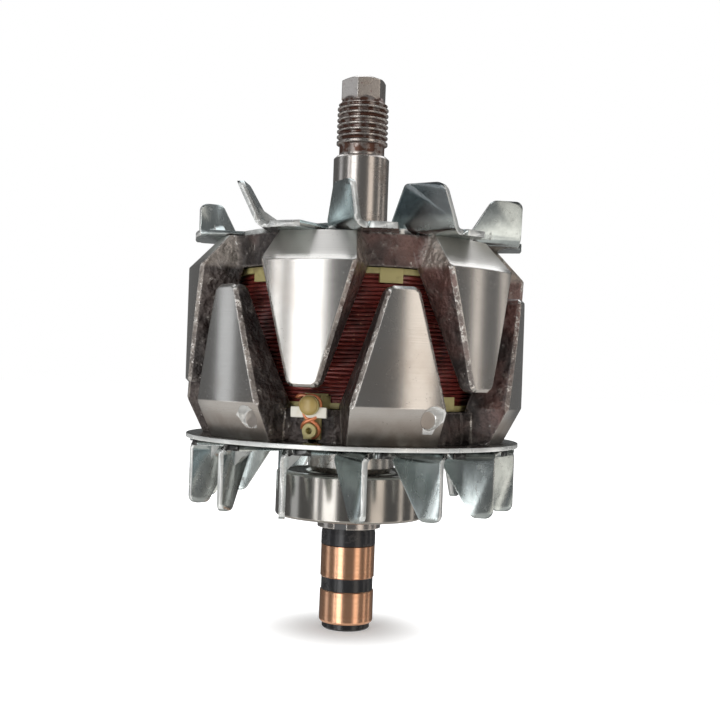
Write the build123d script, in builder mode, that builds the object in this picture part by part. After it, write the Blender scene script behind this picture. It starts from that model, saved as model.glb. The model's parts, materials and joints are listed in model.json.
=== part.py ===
"""Claw-pole rotor of a car alternator, in millimetres.

The shaft lies on Z. The slip-ring end stands on z = 0 and the drive end points up.
Azimuths are in degrees round +Z, with 0 along +X.
"""
from build123d import *
import os
from math import cos, radians, sin, tan

# Slip-ring moulding and rings
slip_ring_radius = 7.25
slip_ring_bore_radius = 5.8
slip_ring_length = 8.8
slip_ring_gap = 3.4
gap_recess = 0.3
moulding_end_thickness = 1.6
moulding_end_radius = 6.4
collar_length = 4.6
collar_radius = 7.3
collar_taper = 0.3
ring_edge_round = 0.9

# Connector bars from the rings to the winding
bar_width = 2.0
bar_thickness = 1.0
bar_inner_radius = 4.2
groove_width = 3.2
groove_floor_radius = 3.9

# Rear ball bearing
bearing_bore_radius = 8.5
bearing_outer_radius = 20.0
bearing_width = 12.0
bearing_inner_land_radius = 12.3
bearing_outer_land_radius = 16.6
bearing_corner = 0.8
ball_radius = 3.37
ball_count = 8
race_clearance = 0.06
seal_thickness = 0.9
seal_recess = 0.25
seal_lip_clearance = 0.15
seal_seat_depth = 0.6
cage_sheet = 0.5
cage_half_width = 0.95
cage_ball_clearance = 0.05
rivet_radius = 0.6
rivet_head_radius = 0.95
rivet_head_height = 0.3

# Shaft
end_pin_radius = 3.5
bearing_seat_overhang = 3.0
pole_seat_radius = 9.0
journal_radius = 7.5
journal_length = 24.3
journal_chamfer = 0.7
neck_radius = 6.1
neck_length = 2.9
thread_radius = 6.9
thread_root_radius = 6.1
thread_pitch = 1.5
thread_turns = 7
thread_lead_in = 0.9
hexagon_across_flats = 10.6
hexagon_length = 5.4
hexagon_cone_length = 1.6
hexagon_dome = 0.9

# Poles
pole_radius = 45.0
claw_count = 6
pole_disc_thickness = 8.0
core_length = 34.9
core_radius = 19.5
spacer_length = 9.3
spacer_radius = 11.6
valley_rim_radius = 34.6
valley_corner = 3.5
claw_root_half_width = 11.8
front_face_half_width = 9.7
rear_face_half_width = 11.2
claw_inner_radius = 17.0
claw_cut_radius = 28.6
claw_tip_half_width = 3.8
claw_tip_thickness = 3.6
claw_tip_round = 2.4
claw_length = 37.6
claw_edge_chamfer = 0.8
front_shoulder_height = 7.8
front_shoulder_radius = 37.5
rear_shoulder_height = 9.2
rear_shoulder_radius = 40.3
rear_claw_offset = 30.0

# Balance holes drilled in the rear pole, as azimuth and height over the pole face
balance_holes = [(-140.0, 5.2), (-79.0, 6.4)]
balance_hole_radius = 3.4
balance_hole_depth = 3.6
balance_hole_taper = 20.0

# Bobbin and winding
bobbin_wall = 1.2
bobbin_flange = 1.4
bobbin_radius = 33.0
bobbin_end_clearance = 0.2
tab_width = 5.8
tab_drop = 3.6
tab_thickness = 1.0
coil_radius = 32.2
coil_turns = 24
coil_groove = 0.45
post_radius = 1.6
post_head_radius = 2.4
post_head_thickness = 1.2
post_length = 2.0
post_height = 2.6
eyelet_radius = 1.7
eyelet_bore_radius = 0.8
eyelet_length = 2.4
eyelet_height = -3.1
terminal_arm_width = 6.8
terminal_arm_thickness = 1.1
terminal_arm_bottom = -5.2
terminal_arm_top = 3.4

# Leads between the winding and the bars
wire_radius = 0.5
sleeve_radius = 1.1
lead_azimuths = [-120.0, 60.0]
lead_slot_width = 2.6
lead_slot_depth = 2.5
lead_clearance = 0.1
lead_bend = 1.3
sleeve_start_radius = 11.0
sleeve_end_radius = 31.0

# Fans
fan_sheet = 1.5
fan_bend_radius = 1.6
fan_hole_radius = 13.0
rear_disc_thickness = 1.2
rear_disc_radius = 44.4
fan_radius = 43.6
rear_blade_count = 14
rear_blade_start = -101.0
rear_blade_sweep = 26.0
rear_blade_length = 13.6
rear_blade_height = 16.8
rear_blade_tip = 5.2
rear_hub_radius = 31.5
rear_lobe_angle = 9.0
# Each front blade: azimuth, lean in degrees, length of its foot, angle of its lobe
front_blades = [
    (-199.0, 16.0, 10.5, 26.0),
    (-138.0, 27.0, 15.0, 14.0),
    (-105.5, 8.0, 15.0, 12.0),
    (-72.0, 31.0, 17.0, 11.0),
    (-31.0, 16.0, 13.5, 16.0),
    (14.0, 22.0, 15.0, 16.0),
    (58.0, 27.0, 15.0, 16.0),
    (100.0, 20.0, 15.0, 18.0),
]
front_blade_sweep = 27.0
front_blade_height = 11.4
front_blade_tip_start = 0.6
front_blade_tip_length = 0.64
front_hub_radius = 33.0
blade_corner = 2.0
lobe_overrun = 3.0
lobe_root_radius = 28.4
lobe_root_angle = 10.0
lobe_foot_share = 0.85
blade_lobe_overlap = 1.0
dart_width = 2.6
dart_reach = 4.2

# Heights that follow from the stack on the shaft
outer_ring_z = moulding_end_thickness
gap_z = outer_ring_z + slip_ring_length
inner_ring_z = gap_z + slip_ring_gap
collar_z = inner_ring_z + slip_ring_length
seat_z = collar_z + collar_length
bearing_z = seat_z + bearing_seat_overhang
spacer_z = bearing_z + bearing_width
rear_face_z = spacer_z + spacer_length
rear_disc_top_z = rear_face_z + pole_disc_thickness
front_disc_z = rear_disc_top_z + core_length
front_face_z = front_disc_z + pole_disc_thickness
rear_fan_z = rear_face_z - rear_disc_thickness - fan_sheet
journal_top_z = front_face_z + journal_length
thread_z = journal_top_z + neck_length
thread_top_z = thread_z + thread_lead_in + thread_pitch * thread_turns
hexagon_z = thread_top_z + hexagon_cone_length
shaft_top_z = hexagon_z + hexagon_length
lead_z = rear_face_z + lead_slot_depth / 2
bearing_mid_z = bearing_z + bearing_width / 2
ball_track_radius = (bearing_inner_land_radius + bearing_outer_land_radius) / 2 - 0.2
race_radius = ball_radius + race_clearance

os.makedirs("parts", exist_ok=True)


def save(piece, name):
    """Label a finished piece and write it as parts/name.step."""
    piece.part.label = name
    export_step(piece.part, f"parts/{name}.step")


# Shaft
with BuildPart() as shaft:
    with BuildSketch(Plane.XZ) as shaft_profile:
        with BuildLine():
            Polyline(
                (0, outer_ring_z + 1.0),
                (end_pin_radius, outer_ring_z + 1.0),
                (end_pin_radius, seat_z),
                (bearing_bore_radius, seat_z),
                (bearing_bore_radius, rear_face_z),
                (pole_seat_radius, rear_face_z),
                (pole_seat_radius, front_face_z),
                (journal_radius, front_face_z),
                (journal_radius, journal_top_z - journal_chamfer),
                (journal_radius - journal_chamfer, journal_top_z),
                (neck_radius, journal_top_z),
                (neck_radius, thread_z),
                (thread_radius, thread_z + thread_lead_in / 2),
                (thread_radius, thread_top_z - thread_lead_in / 2),
                (thread_root_radius, thread_top_z),
                (hexagon_across_flats / 2, hexagon_z),
                (0, hexagon_z),
                close=True,
            )
        make_face()
    revolve(axis=Axis.Z)
    with BuildSketch(Plane.XZ) as thread_groove:
        for turn in range(thread_turns):
            groove_z = thread_z + thread_lead_in + thread_pitch * (turn + 0.5)
            with BuildLine():
                Polyline(
                    (thread_radius + 0.1, groove_z - thread_pitch * 0.45),
                    (thread_root_radius, groove_z - thread_pitch * 0.08),
                    (thread_root_radius, groove_z + thread_pitch * 0.08),
                    (thread_radius + 0.1, groove_z + thread_pitch * 0.45),
                    close=True,
                )
            make_face()
    revolve(axis=Axis.Z, mode=Mode.SUBTRACT)
    with BuildSketch(Plane.XY.offset(hexagon_z - hexagon_cone_length / 2)):
        RegularPolygon(hexagon_across_flats / 2, 6, major_radius=False)
    extrude(amount=hexagon_length + hexagon_cone_length / 2)
    with BuildSketch(Plane.XZ) as dome_profile:
        with BuildLine():
            corner_radius = hexagon_across_flats / 2 / cos(radians(30)) + 1.0
            Polyline(
                (hexagon_across_flats / 2 - 1.4, shaft_top_z + 1.0),
                (hexagon_across_flats / 2 - 1.4, shaft_top_z),
                (corner_radius, shaft_top_z - hexagon_dome * 1.6),
                (corner_radius, shaft_top_z + 1.0),
                close=True,
            )
        make_face()
    revolve(axis=Axis.Z, mode=Mode.SUBTRACT)
    with BuildSketch(Plane.XY.offset(seat_z)):
        for azimuth in lead_azimuths:
            with Locations(Location((0, 0, 0), (0, 0, azimuth))):
                with Locations((groove_floor_radius + pole_seat_radius, 0)):
                    Rectangle(pole_seat_radius * 2, groove_width)
    extrude(amount=rear_face_z + lead_slot_depth - seat_z, mode=Mode.SUBTRACT)
save(shaft, "shaft")


# Pole halves
def claw_outline(face_half_width, length, shoulder_height):
    """Half-outline points of a claw on its tangent plane, from the pole face to the tip."""
    return [
        (0, 0),
        (face_half_width, 0),
        (claw_root_half_width, shoulder_height),
        (claw_tip_half_width, length),
        (0, length),
    ]


def claw_pole(shoulder_height, shoulder_radius, face_half_width, first_azimuth):
    """Build a pole half with its face on z = 0 and its claws reaching up."""
    with BuildPart() as claw:
        with BuildSketch(Plane.XZ):
            with BuildLine():
                Polyline(
                    (claw_inner_radius, 0),
                    (shoulder_radius, 0),
                    (pole_radius, shoulder_height),
                    (pole_radius, claw_length),
                    (pole_radius - claw_tip_thickness, claw_length),
                    (valley_rim_radius, pole_disc_thickness),
                    (claw_inner_radius, pole_disc_thickness),
                    close=True,
                )
            make_face()
        revolve(axis=Axis.Z)
        with BuildSketch(Plane.YZ.offset(claw_cut_radius)) as outline:
            with BuildLine():
                half = claw_outline(face_half_width, claw_length, shoulder_height)
                Polyline(*half, *[(-x, y) for x, y in reversed(half[1:-1])], close=True)
            make_face()
            fillet(outline.vertices().group_by(Axis.Y)[-1], claw_tip_round)
        extrude(amount=pole_radius, mode=Mode.INTERSECT)
        outer = claw.faces().filter_by(GeomType.CYLINDER).sort_by(Axis.X)[-1]
        flank_edges = [e for e in outer.edges() if e.center().Z > shoulder_height + 0.5]
        chamfer(flank_edges, claw_edge_chamfer)
    with BuildPart() as pole:
        with BuildSketch():
            Circle(valley_rim_radius)
        extrude(amount=pole_disc_thickness)
        with Locations(Location((0, 0, 0), (0, 0, first_azimuth))):
            with PolarLocations(0, claw_count):
                add(claw.part)
        upright = pole.edges().filter_by(
            lambda e: e.bounding_box().size.Z > pole_disc_thickness * 0.6
            and abs(Vector(e.center().X, e.center().Y).length - valley_rim_radius) < 0.5
        )
        fillet(upright, valley_corner)
        with BuildSketch():
            Circle(pole_seat_radius)
        extrude(amount=pole_disc_thickness, mode=Mode.SUBTRACT)
    return pole


front_half = claw_pole(front_shoulder_height, front_shoulder_radius, front_face_half_width, 0.0)
rear_half = claw_pole(
    rear_shoulder_height, rear_shoulder_radius, rear_face_half_width, rear_claw_offset
)

with BuildPart() as front_pole:
    add(front_half.part.mirror(Plane.XY).moved(Location((0, 0, front_face_z))))
save(front_pole, "front_pole")

with BuildPart() as rear_pole:
    add(rear_half.part.moved(Location((0, 0, rear_face_z))))
    with BuildSketch(Plane.XY.offset(rear_face_z)):
        for azimuth in lead_azimuths:
            with Locations(Location((0, 0, 0), (0, 0, azimuth))):
                with Locations((valley_rim_radius / 2 + 4, 0)):
                    Rectangle(valley_rim_radius, lead_slot_width)
    extrude(amount=lead_slot_depth, mode=Mode.SUBTRACT)
    for azimuth, height in balance_holes:
        drill_plane = Plane(
            origin=(
                pole_radius * cos(radians(azimuth)),
                pole_radius * sin(radians(azimuth)),
                rear_face_z + height,
            ),
            z_dir=(-cos(radians(azimuth)), -sin(radians(azimuth)), 0),
        )
        with BuildSketch(drill_plane):
            Circle(balance_hole_radius)
        extrude(amount=balance_hole_depth, taper=balance_hole_taper, mode=Mode.SUBTRACT)
save(rear_pole, "rear_pole")

with BuildPart() as pole_core:
    with BuildSketch(Plane.XY.offset(rear_disc_top_z)):
        Circle(core_radius)
        Circle(pole_seat_radius, mode=Mode.SUBTRACT)
    extrude(amount=core_length)
save(pole_core, "pole_core")

with BuildPart() as rear_spacer:
    with BuildSketch(Plane.XY.offset(spacer_z)):
        Circle(spacer_radius)
        Circle(bearing_bore_radius, mode=Mode.SUBTRACT)
    extrude(amount=spacer_length)
    chamfer(rear_spacer.faces().sort_by(Axis.Z)[0].edges().sort_by(SortBy.LENGTH)[-1], 1.2)
save(rear_spacer, "rear_spacer")


# Bobbin, with a tab folded over the winding in each valley and a terminal post at each lead
bobbin_bottom = rear_disc_top_z + bobbin_end_clearance
bobbin_top = front_disc_z - bobbin_end_clearance
bobbin_bore_radius = core_radius + 0.2
terminal_arm_radius = valley_rim_radius + 0.15
arm_face_radius = terminal_arm_radius + terminal_arm_thickness
lead_track_radius = arm_face_radius + wire_radius + lead_clearance
bridge_height = terminal_arm_top - bobbin_end_clearance


def tangent_plane(azimuth, radius, height):
    """Plane that touches the cylinder of this radius, with X round the axis and Y up."""
    direction = (cos(radians(azimuth)), sin(radians(azimuth)), 0)
    return Plane(
        origin=(radius * direction[0], radius * direction[1], height),
        x_dir=(-direction[1], direction[0], 0),
        z_dir=direction,
    )


with BuildPart() as bobbin:
    with BuildSketch(Plane.XZ):
        with BuildLine():
            Polyline(
                (bobbin_bore_radius, bobbin_bottom),
                (bobbin_radius, bobbin_bottom),
                (bobbin_radius, bobbin_bottom + bobbin_flange),
                (bobbin_bore_radius + bobbin_wall, bobbin_bottom + bobbin_flange),
                (bobbin_bore_radius + bobbin_wall, bobbin_top - bobbin_flange),
                (bobbin_radius, bobbin_top - bobbin_flange),
                (bobbin_radius, bobbin_top),
                (bobbin_bore_radius, bobbin_top),
                close=True,
            )
        make_face()
    revolve(axis=Axis.Z)
    for step in range(claw_count):
        front_valley = rear_claw_offset + 360 / claw_count * step
        with BuildSketch(tangent_plane(front_valley, coil_radius + 0.1, bobbin_top)):
            with Locations((0, -tab_drop / 2)):
                Rectangle(tab_width, tab_drop)
        extrude(amount=tab_thickness)
    for step in range(claw_count):
        rear_valley = 360 / claw_count * step
        with BuildSketch(tangent_plane(rear_valley, coil_radius + 0.1, bobbin_bottom)):
            with Locations((0, tab_drop / 2)):
                Rectangle(tab_width, tab_drop)
        extrude(amount=tab_thickness)
    for azimuth in lead_azimuths:
        arm_height = terminal_arm_top - terminal_arm_bottom
        arm_centre = (terminal_arm_top + terminal_arm_bottom) / 2
        with BuildSketch(tangent_plane(azimuth, terminal_arm_radius, rear_disc_top_z)):
            with Locations((0, arm_centre)):
                Rectangle(terminal_arm_width, arm_height)
        extrude(amount=terminal_arm_thickness)
        with BuildSketch(tangent_plane(azimuth, coil_radius + 0.1, bobbin_bottom)):
            with Locations((0, bridge_height / 2)):
                Rectangle(terminal_arm_width, bridge_height)
        extrude(amount=terminal_arm_radius + terminal_arm_thickness - coil_radius - 0.1)
        with BuildSketch(tangent_plane(azimuth, arm_face_radius, rear_disc_top_z)):
            with Locations((0, post_height)):
                Circle(post_radius)
        extrude(amount=post_length)
        with BuildSketch(tangent_plane(azimuth, arm_face_radius + post_length, rear_disc_top_z)):
            with Locations((0, post_height)):
                Circle(post_head_radius)
        extrude(amount=post_head_thickness)
        with BuildSketch(tangent_plane(azimuth, arm_face_radius, rear_disc_top_z)):
            with Locations((0, eyelet_height)):
                Circle(eyelet_radius)
                Circle(eyelet_bore_radius, mode=Mode.SUBTRACT)
        extrude(amount=eyelet_length)
save(bobbin, "bobbin")

coil_bottom = bobbin_bottom + bobbin_flange
coil_top = bobbin_top - bobbin_flange
wire_pitch = (coil_top - coil_bottom) / coil_turns

with BuildPart() as field_coil:
    with BuildSketch(Plane.XZ):
        with BuildLine():
            turns = [(coil_radius - coil_groove, coil_bottom)]
            for turn in range(coil_turns):
                turns.append((coil_radius, coil_bottom + wire_pitch * (turn + 0.3)))
                turns.append((coil_radius, coil_bottom + wire_pitch * (turn + 0.7)))
                turns.append((coil_radius - coil_groove, coil_bottom + wire_pitch * (turn + 1)))
            Polyline(
                (bobbin_bore_radius + bobbin_wall, coil_bottom),
                *turns,
                (bobbin_bore_radius + bobbin_wall, coil_top),
                close=True,
            )
        make_face()
    revolve(axis=Axis.Z)
save(field_coil, "field_coil")


# Leads: over the post, down the valley and in along the slot of the rear pole to the bar
def lead_point(radius, side, height, azimuth):
    """Point at a radius, moved sideways round the axis, at a height over the rear disc."""
    plane = tangent_plane(azimuth, radius, rear_disc_top_z + height)
    return plane.origin + plane.x_dir * side


def make_lead(azimuth):
    """Build one lead of the winding and its sleeve, at this azimuth."""
    over_post = post_height + post_radius + wire_radius
    beside_post = post_radius + wire_radius
    lead_exit_side = terminal_arm_width / 2 + wire_radius + lead_clearance
    under_eyelet = eyelet_height - eyelet_radius - wire_radius
    slot_height = lead_z - rear_disc_top_z
    with BuildPart() as lead:
        with BuildLine() as route:
            FilletPolyline(
                lead_point(coil_radius, -lead_exit_side, post_height - 0.4, azimuth),
                lead_point(lead_track_radius, -lead_exit_side, post_height - 0.4, azimuth),
                lead_point(lead_track_radius, -beside_post - 0.2, over_post, azimuth),
                lead_point(lead_track_radius, beside_post + 0.2, over_post, azimuth),
                lead_point(lead_track_radius, beside_post + 0.2, under_eyelet, azimuth),
                lead_point(lead_track_radius, 0, slot_height, azimuth),
                lead_point(bar_inner_radius + bar_thickness, 0, slot_height, azimuth),
                radius=lead_bend,
            )
        with BuildSketch(Plane(origin=route.line @ 0, z_dir=route.line % 0)):
            Circle(wire_radius)
        sweep()
    with BuildPart() as sleeve:
        with BuildSketch(tangent_plane(azimuth, sleeve_start_radius, lead_z)):
            Circle(sleeve_radius)
            Circle(wire_radius, mode=Mode.SUBTRACT)
        extrude(amount=sleeve_end_radius - sleeve_start_radius)
    return lead, sleeve


coil_lead_start, lead_sleeve_start = make_lead(lead_azimuths[0])
save(coil_lead_start, "coil_lead_start")
save(lead_sleeve_start, "lead_sleeve_start")
coil_lead_end, lead_sleeve_end = make_lead(lead_azimuths[1])
save(coil_lead_end, "coil_lead_end")
save(lead_sleeve_end, "lead_sleeve_end")


# Slip rings, their moulding and the two bars
tongue_top_z = rear_face_z - 1.0
bar_top_z = rear_face_z + lead_slot_depth


def bar_sketch(azimuth):
    """Draw the section of a connector bar in the open sketch."""
    with Locations(Location((0, 0, 0), (0, 0, azimuth))):
        with Locations((bar_inner_radius + bar_thickness / 2, 0)):
            Rectangle(bar_thickness, bar_width)


def make_bar(azimuth, foot_z):
    """Build a bar that runs from its ring at foot_z up to the end of the lead."""
    with BuildPart() as bar:
        with BuildSketch(Plane.XY.offset(foot_z)):
            bar_sketch(azimuth)
        extrude(amount=bar_top_z - foot_z)
        with BuildSketch(Plane.XY.offset(foot_z)):
            with Locations(Location((0, 0, 0), (0, 0, azimuth))):
                with Locations(((bar_inner_radius + slip_ring_bore_radius) / 2, 0)):
                    Rectangle(slip_ring_bore_radius - bar_inner_radius - 0.2, bar_width)
        extrude(amount=bar_width)
    return bar


bar_foot_inset = 3.0
slip_ring_bar_outer = make_bar(lead_azimuths[0], outer_ring_z + bar_foot_inset)
save(slip_ring_bar_outer, "slip_ring_bar_outer")
slip_ring_bar_inner = make_bar(lead_azimuths[1], inner_ring_z + bar_foot_inset)
save(slip_ring_bar_inner, "slip_ring_bar_inner")

with BuildPart() as slip_ring_body:
    with BuildSketch(Plane.XZ):
        with BuildLine():
            Polyline(
                (0, 0),
                (moulding_end_radius - 0.4, 0),
                (moulding_end_radius, 0.4),
                (moulding_end_radius, outer_ring_z),
                (slip_ring_bore_radius, outer_ring_z),
                (slip_ring_bore_radius, gap_z),
                (slip_ring_radius - gap_recess, gap_z),
                (slip_ring_radius - gap_recess, inner_ring_z),
                (slip_ring_bore_radius, inner_ring_z),
                (slip_ring_bore_radius, collar_z),
                (collar_radius, collar_z),
                (collar_radius, seat_z - collar_length * 0.35),
                (collar_radius - collar_taper, seat_z),
                (0, seat_z),
                close=True,
            )
        make_face()
    revolve(axis=Axis.Z)
    with BuildSketch(Plane.XY.offset(seat_z)):
        for azimuth in lead_azimuths:
            with Locations(Location((0, 0, 0), (0, 0, azimuth))):
                with Locations(((groove_floor_radius + bearing_bore_radius) / 2, 0)):
                    Rectangle(bearing_bore_radius - groove_floor_radius - 0.4, groove_width)
    extrude(amount=tongue_top_z - seat_z)
    with BuildSketch(Plane.XY.offset(outer_ring_z + 1.0)):
        Circle(end_pin_radius)
    extrude(amount=seat_z - outer_ring_z - 1.0, mode=Mode.SUBTRACT)
    add(slip_ring_bar_outer.part, mode=Mode.SUBTRACT)
    add(slip_ring_bar_inner.part, mode=Mode.SUBTRACT)
save(slip_ring_body, "slip_ring_body")


def make_slip_ring(height, rounded):
    """Build a copper ring from this height up, with a rounded lower edge where asked."""
    with BuildPart() as ring:
        with BuildSketch(Plane.XY.offset(height)):
            Circle(slip_ring_radius)
            Circle(slip_ring_bore_radius, mode=Mode.SUBTRACT)
        extrude(amount=slip_ring_length)
        lower = ring.faces().sort_by(Axis.Z)[0].edges().sort_by(SortBy.LENGTH)[-1]
        upper = ring.faces().sort_by(Axis.Z)[-1].edges().sort_by(SortBy.LENGTH)[-1]
        if rounded:
            fillet(lower, ring_edge_round)
        else:
            chamfer(lower, 0.25)
        chamfer(upper, 0.25)
    return ring


outer_slip_ring = make_slip_ring(outer_ring_z, True)
save(outer_slip_ring, "outer_slip_ring")
inner_slip_ring = make_slip_ring(inner_ring_z, False)
save(inner_slip_ring, "inner_slip_ring")


# Rear ball bearing
with BuildPart() as bearing_inner_ring:
    with BuildSketch(Plane.XZ) as inner_ring_profile:
        with Locations(((bearing_bore_radius + bearing_inner_land_radius) / 2, bearing_mid_z)):
            Rectangle(bearing_inner_land_radius - bearing_bore_radius, bearing_width)
        chamfer(inner_ring_profile.vertices().group_by(Axis.X)[-1], 0.3)
        with Locations((ball_track_radius, bearing_mid_z)):
            Circle(race_radius, mode=Mode.SUBTRACT)
    revolve(axis=Axis.Z)
save(bearing_inner_ring, "bearing_inner_ring")

with BuildPart() as bearing_outer_ring:
    with BuildSketch(Plane.XZ) as outer_ring_profile:
        with Locations(((bearing_outer_land_radius + bearing_outer_radius) / 2, bearing_mid_z)):
            Rectangle(bearing_outer_radius - bearing_outer_land_radius, bearing_width)
        fillet(outer_ring_profile.vertices().group_by(Axis.X)[-1], bearing_corner)
        seat_height = seal_thickness + seal_recess
        for end_z in (bearing_z + seat_height / 2, spacer_z - seat_height / 2):
            with Locations((bearing_outer_land_radius + seal_seat_depth / 2, end_z)):
                Rectangle(seal_seat_depth, seat_height, mode=Mode.SUBTRACT)
        with Locations((ball_track_radius, bearing_mid_z)):
            Circle(race_radius, mode=Mode.SUBTRACT)
    revolve(axis=Axis.Z)
save(bearing_outer_ring, "bearing_outer_ring")

with BuildPart() as bearing_balls:
    with Locations((0, 0, bearing_mid_z)):
        with PolarLocations(ball_track_radius, ball_count):
            Sphere(ball_radius)
save(bearing_balls, "bearing_balls")


def make_cage_half(side):
    """Build one pressed half of the ball cage, above (+1) or below (-1) the ball centres."""
    pocket_radius = ball_radius + cage_ball_clearance + cage_sheet
    with BuildPart() as cage:
        with BuildSketch(Plane.XY.offset(bearing_mid_z)):
            Circle(ball_track_radius + cage_half_width)
        extrude(amount=side * cage_sheet)
        with Locations((0, 0, bearing_mid_z)):
            with PolarLocations(ball_track_radius, ball_count):
                Sphere(pocket_radius)
        with BuildSketch(Plane.XY.offset(bearing_mid_z)):
            Circle(ball_track_radius + cage_half_width)
            Circle(ball_track_radius - cage_half_width, mode=Mode.SUBTRACT)
        extrude(amount=side * (pocket_radius + 1.0), mode=Mode.INTERSECT)
        with Locations((0, 0, bearing_mid_z)):
            with PolarLocations(ball_track_radius, ball_count):
                Sphere(ball_radius + cage_ball_clearance, mode=Mode.SUBTRACT)
        with BuildSketch(Plane.XY.offset(bearing_mid_z)):
            with PolarLocations(ball_track_radius, ball_count, start_angle=180 / ball_count):
                Circle(rivet_radius)
        extrude(amount=side * cage_sheet, mode=Mode.SUBTRACT)
    return cage


bearing_cage_front = make_cage_half(1)
save(bearing_cage_front, "bearing_cage_front")
bearing_cage_rear = make_cage_half(-1)
save(bearing_cage_rear, "bearing_cage_rear")

with BuildPart() as bearing_cage_rivets:
    with BuildSketch(Plane.XY.offset(bearing_mid_z)):
        with PolarLocations(ball_track_radius, ball_count, start_angle=180 / ball_count):
            Circle(rivet_radius)
    extrude(amount=cage_sheet + rivet_head_height, both=True)
    for side in (1, -1):
        with BuildSketch(Plane.XY.offset(bearing_mid_z + side * cage_sheet)):
            with PolarLocations(ball_track_radius, ball_count, start_angle=180 / ball_count):
                Circle(rivet_head_radius)
        extrude(amount=side * rivet_head_height)
save(bearing_cage_rivets, "bearing_cage_rivets")


def make_seal(height):
    """Build a bearing seal from this height up."""
    with BuildPart() as seal:
        with BuildSketch(Plane.XY.offset(height)):
            Circle(bearing_outer_land_radius + seal_seat_depth)
            Circle(bearing_inner_land_radius + seal_lip_clearance, mode=Mode.SUBTRACT)
        extrude(amount=seal_thickness)
    return seal


bearing_seal_rear = make_seal(bearing_z + seal_recess)
save(bearing_seal_rear, "bearing_seal_rear")
bearing_seal_front = make_seal(spacer_z - seal_recess - seal_thickness)
save(bearing_seal_front, "bearing_seal_front")


# Fans
def blade_frame(azimuth, sweep):
    """Return the outer foot of a blade, its inward direction and the side of its lobe."""
    outward = Vector(cos(radians(azimuth)), sin(radians(azimuth)), 0)
    inward = (outward * -1).rotate(Axis.Z, sweep)
    lobe_side = inward.rotate(Axis.Z, -90)
    return outward * fan_radius, inward, lobe_side


def make_blade(azimuth, sweep, lean, outline, length, height, base_z, up):
    """Build one bent blade with the strip of sheet that joins it to its lobe.

    The blade rises from base_z where up is 1 and hangs from it where up is -1.
    """
    foot, inward, lobe_side = blade_frame(azimuth, sweep)
    foot = foot + Vector(0, 0, base_z)
    strip = fan_bend_radius + fan_sheet + blade_lobe_overlap
    away = height * tan(radians(lean))
    across = fan_sheet / cos(radians(lean))
    with BuildPart() as blade:
        with BuildSketch(Plane(origin=foot, x_dir=lobe_side, z_dir=inward * -up)) as bend:
            with BuildLine():
                Polyline(
                    (strip, 0),
                    (0, 0),
                    (-away, height),
                    (across - away, height),
                    (across - fan_sheet * tan(radians(lean)), fan_sheet),
                    (strip, fan_sheet),
                    close=True,
                )
            make_face()
            outside = bend.vertices().sort_by_distance((0, 0, 0))[0]
            fillet(outside, fan_bend_radius + fan_sheet)
            inside_x = across - fan_sheet * tan(radians(lean))
            inside = bend.vertices().sort_by_distance((inside_x, fan_sheet, 0))[0]
            fillet(inside, fan_bend_radius)
        extrude(amount=-up * length)
        with BuildSketch(Plane(origin=foot, x_dir=inward, z_dir=lobe_side * up)) as side_view:
            with BuildLine():
                Polyline(*outline, close=True)
            make_face()
            fillet(side_view.vertices().group_by(Axis.Y)[-1], blade_corner)
        extrude(amount=height * 2, both=True, mode=Mode.INTERSECT)
        dart_start = foot + inward * ((length - dart_width) / 2)
        with BuildSketch(Plane(origin=dart_start, x_dir=lobe_side, z_dir=inward * -up)):
            with BuildLine():
                Polyline(
                    (inside_x, fan_sheet / 2),
                    (inside_x + dart_reach, fan_sheet / 2),
                    (inside_x + dart_reach, fan_sheet),
                    (inside_x - dart_reach * tan(radians(lean)), fan_sheet + dart_reach),
                    (inside_x - dart_reach * tan(radians(lean)) - fan_sheet / 2,
                     fan_sheet + dart_reach),
                    close=True,
                )
            make_face()
        extrude(amount=-up * dart_width)
    return blade


def lobe_points(azimuth, sweep, length, lobe_angle):
    """Corners of the flat lobe beside a blade, drawn a little past the rim of the fan."""
    foot, inward, lobe_side = blade_frame(azimuth, sweep)
    edge = lobe_side * (fan_bend_radius + fan_sheet)
    outer = foot + edge - inward * (lobe_overrun + 1.0)
    inner = foot + edge + inward * length
    far = azimuth + lobe_angle
    root = azimuth + lobe_angle + lobe_root_angle
    return [
        (outer.X, outer.Y),
        ((fan_radius + lobe_overrun) * cos(radians(far)), (fan_radius + lobe_overrun) * sin(radians(far))),
        (lobe_root_radius * cos(radians(root)), lobe_root_radius * sin(radians(root))),
        (inner.X * lobe_foot_share, inner.Y * lobe_foot_share),
        (inner.X, inner.Y),
    ]


def make_fan(base_z, up, hub_radius, blades, lobes):
    """Join the hub, the lobes and the blades of a fan."""
    with BuildPart() as fan:
        with BuildSketch(Plane.XY.offset(base_z)):
            Circle(hub_radius)
            for lobe in lobes:
                with BuildLine():
                    Polyline(*lobe, close=True)
                make_face()
            Circle(fan_radius, mode=Mode.INTERSECT)
            Circle(fan_hole_radius, mode=Mode.SUBTRACT)
        extrude(amount=up * fan_sheet)
        for blade in blades:
            add(blade.part)
    return fan


def front_outline(length):
    """Outline of a front blade, from its outer end inwards."""
    return [
        (0, -1),
        (0, fan_sheet + fan_bend_radius),
        (front_blade_tip_start, front_blade_height),
        (length * front_blade_tip_length, front_blade_height),
        (length, fan_sheet + fan_bend_radius),
        (length, -1),
    ]


front_fan = make_fan(
    front_face_z,
    1,
    front_hub_radius,
    [
        make_blade(
            azimuth, front_blade_sweep, lean, front_outline(length),
            length, front_blade_height, front_face_z, 1,
        )
        for azimuth, lean, length, lobe_angle in front_blades
    ],
    [
        lobe_points(azimuth, front_blade_sweep, length, lobe_angle)
        for azimuth, lean, length, lobe_angle in front_blades
    ],
)
save(front_fan, "front_fan")

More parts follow.
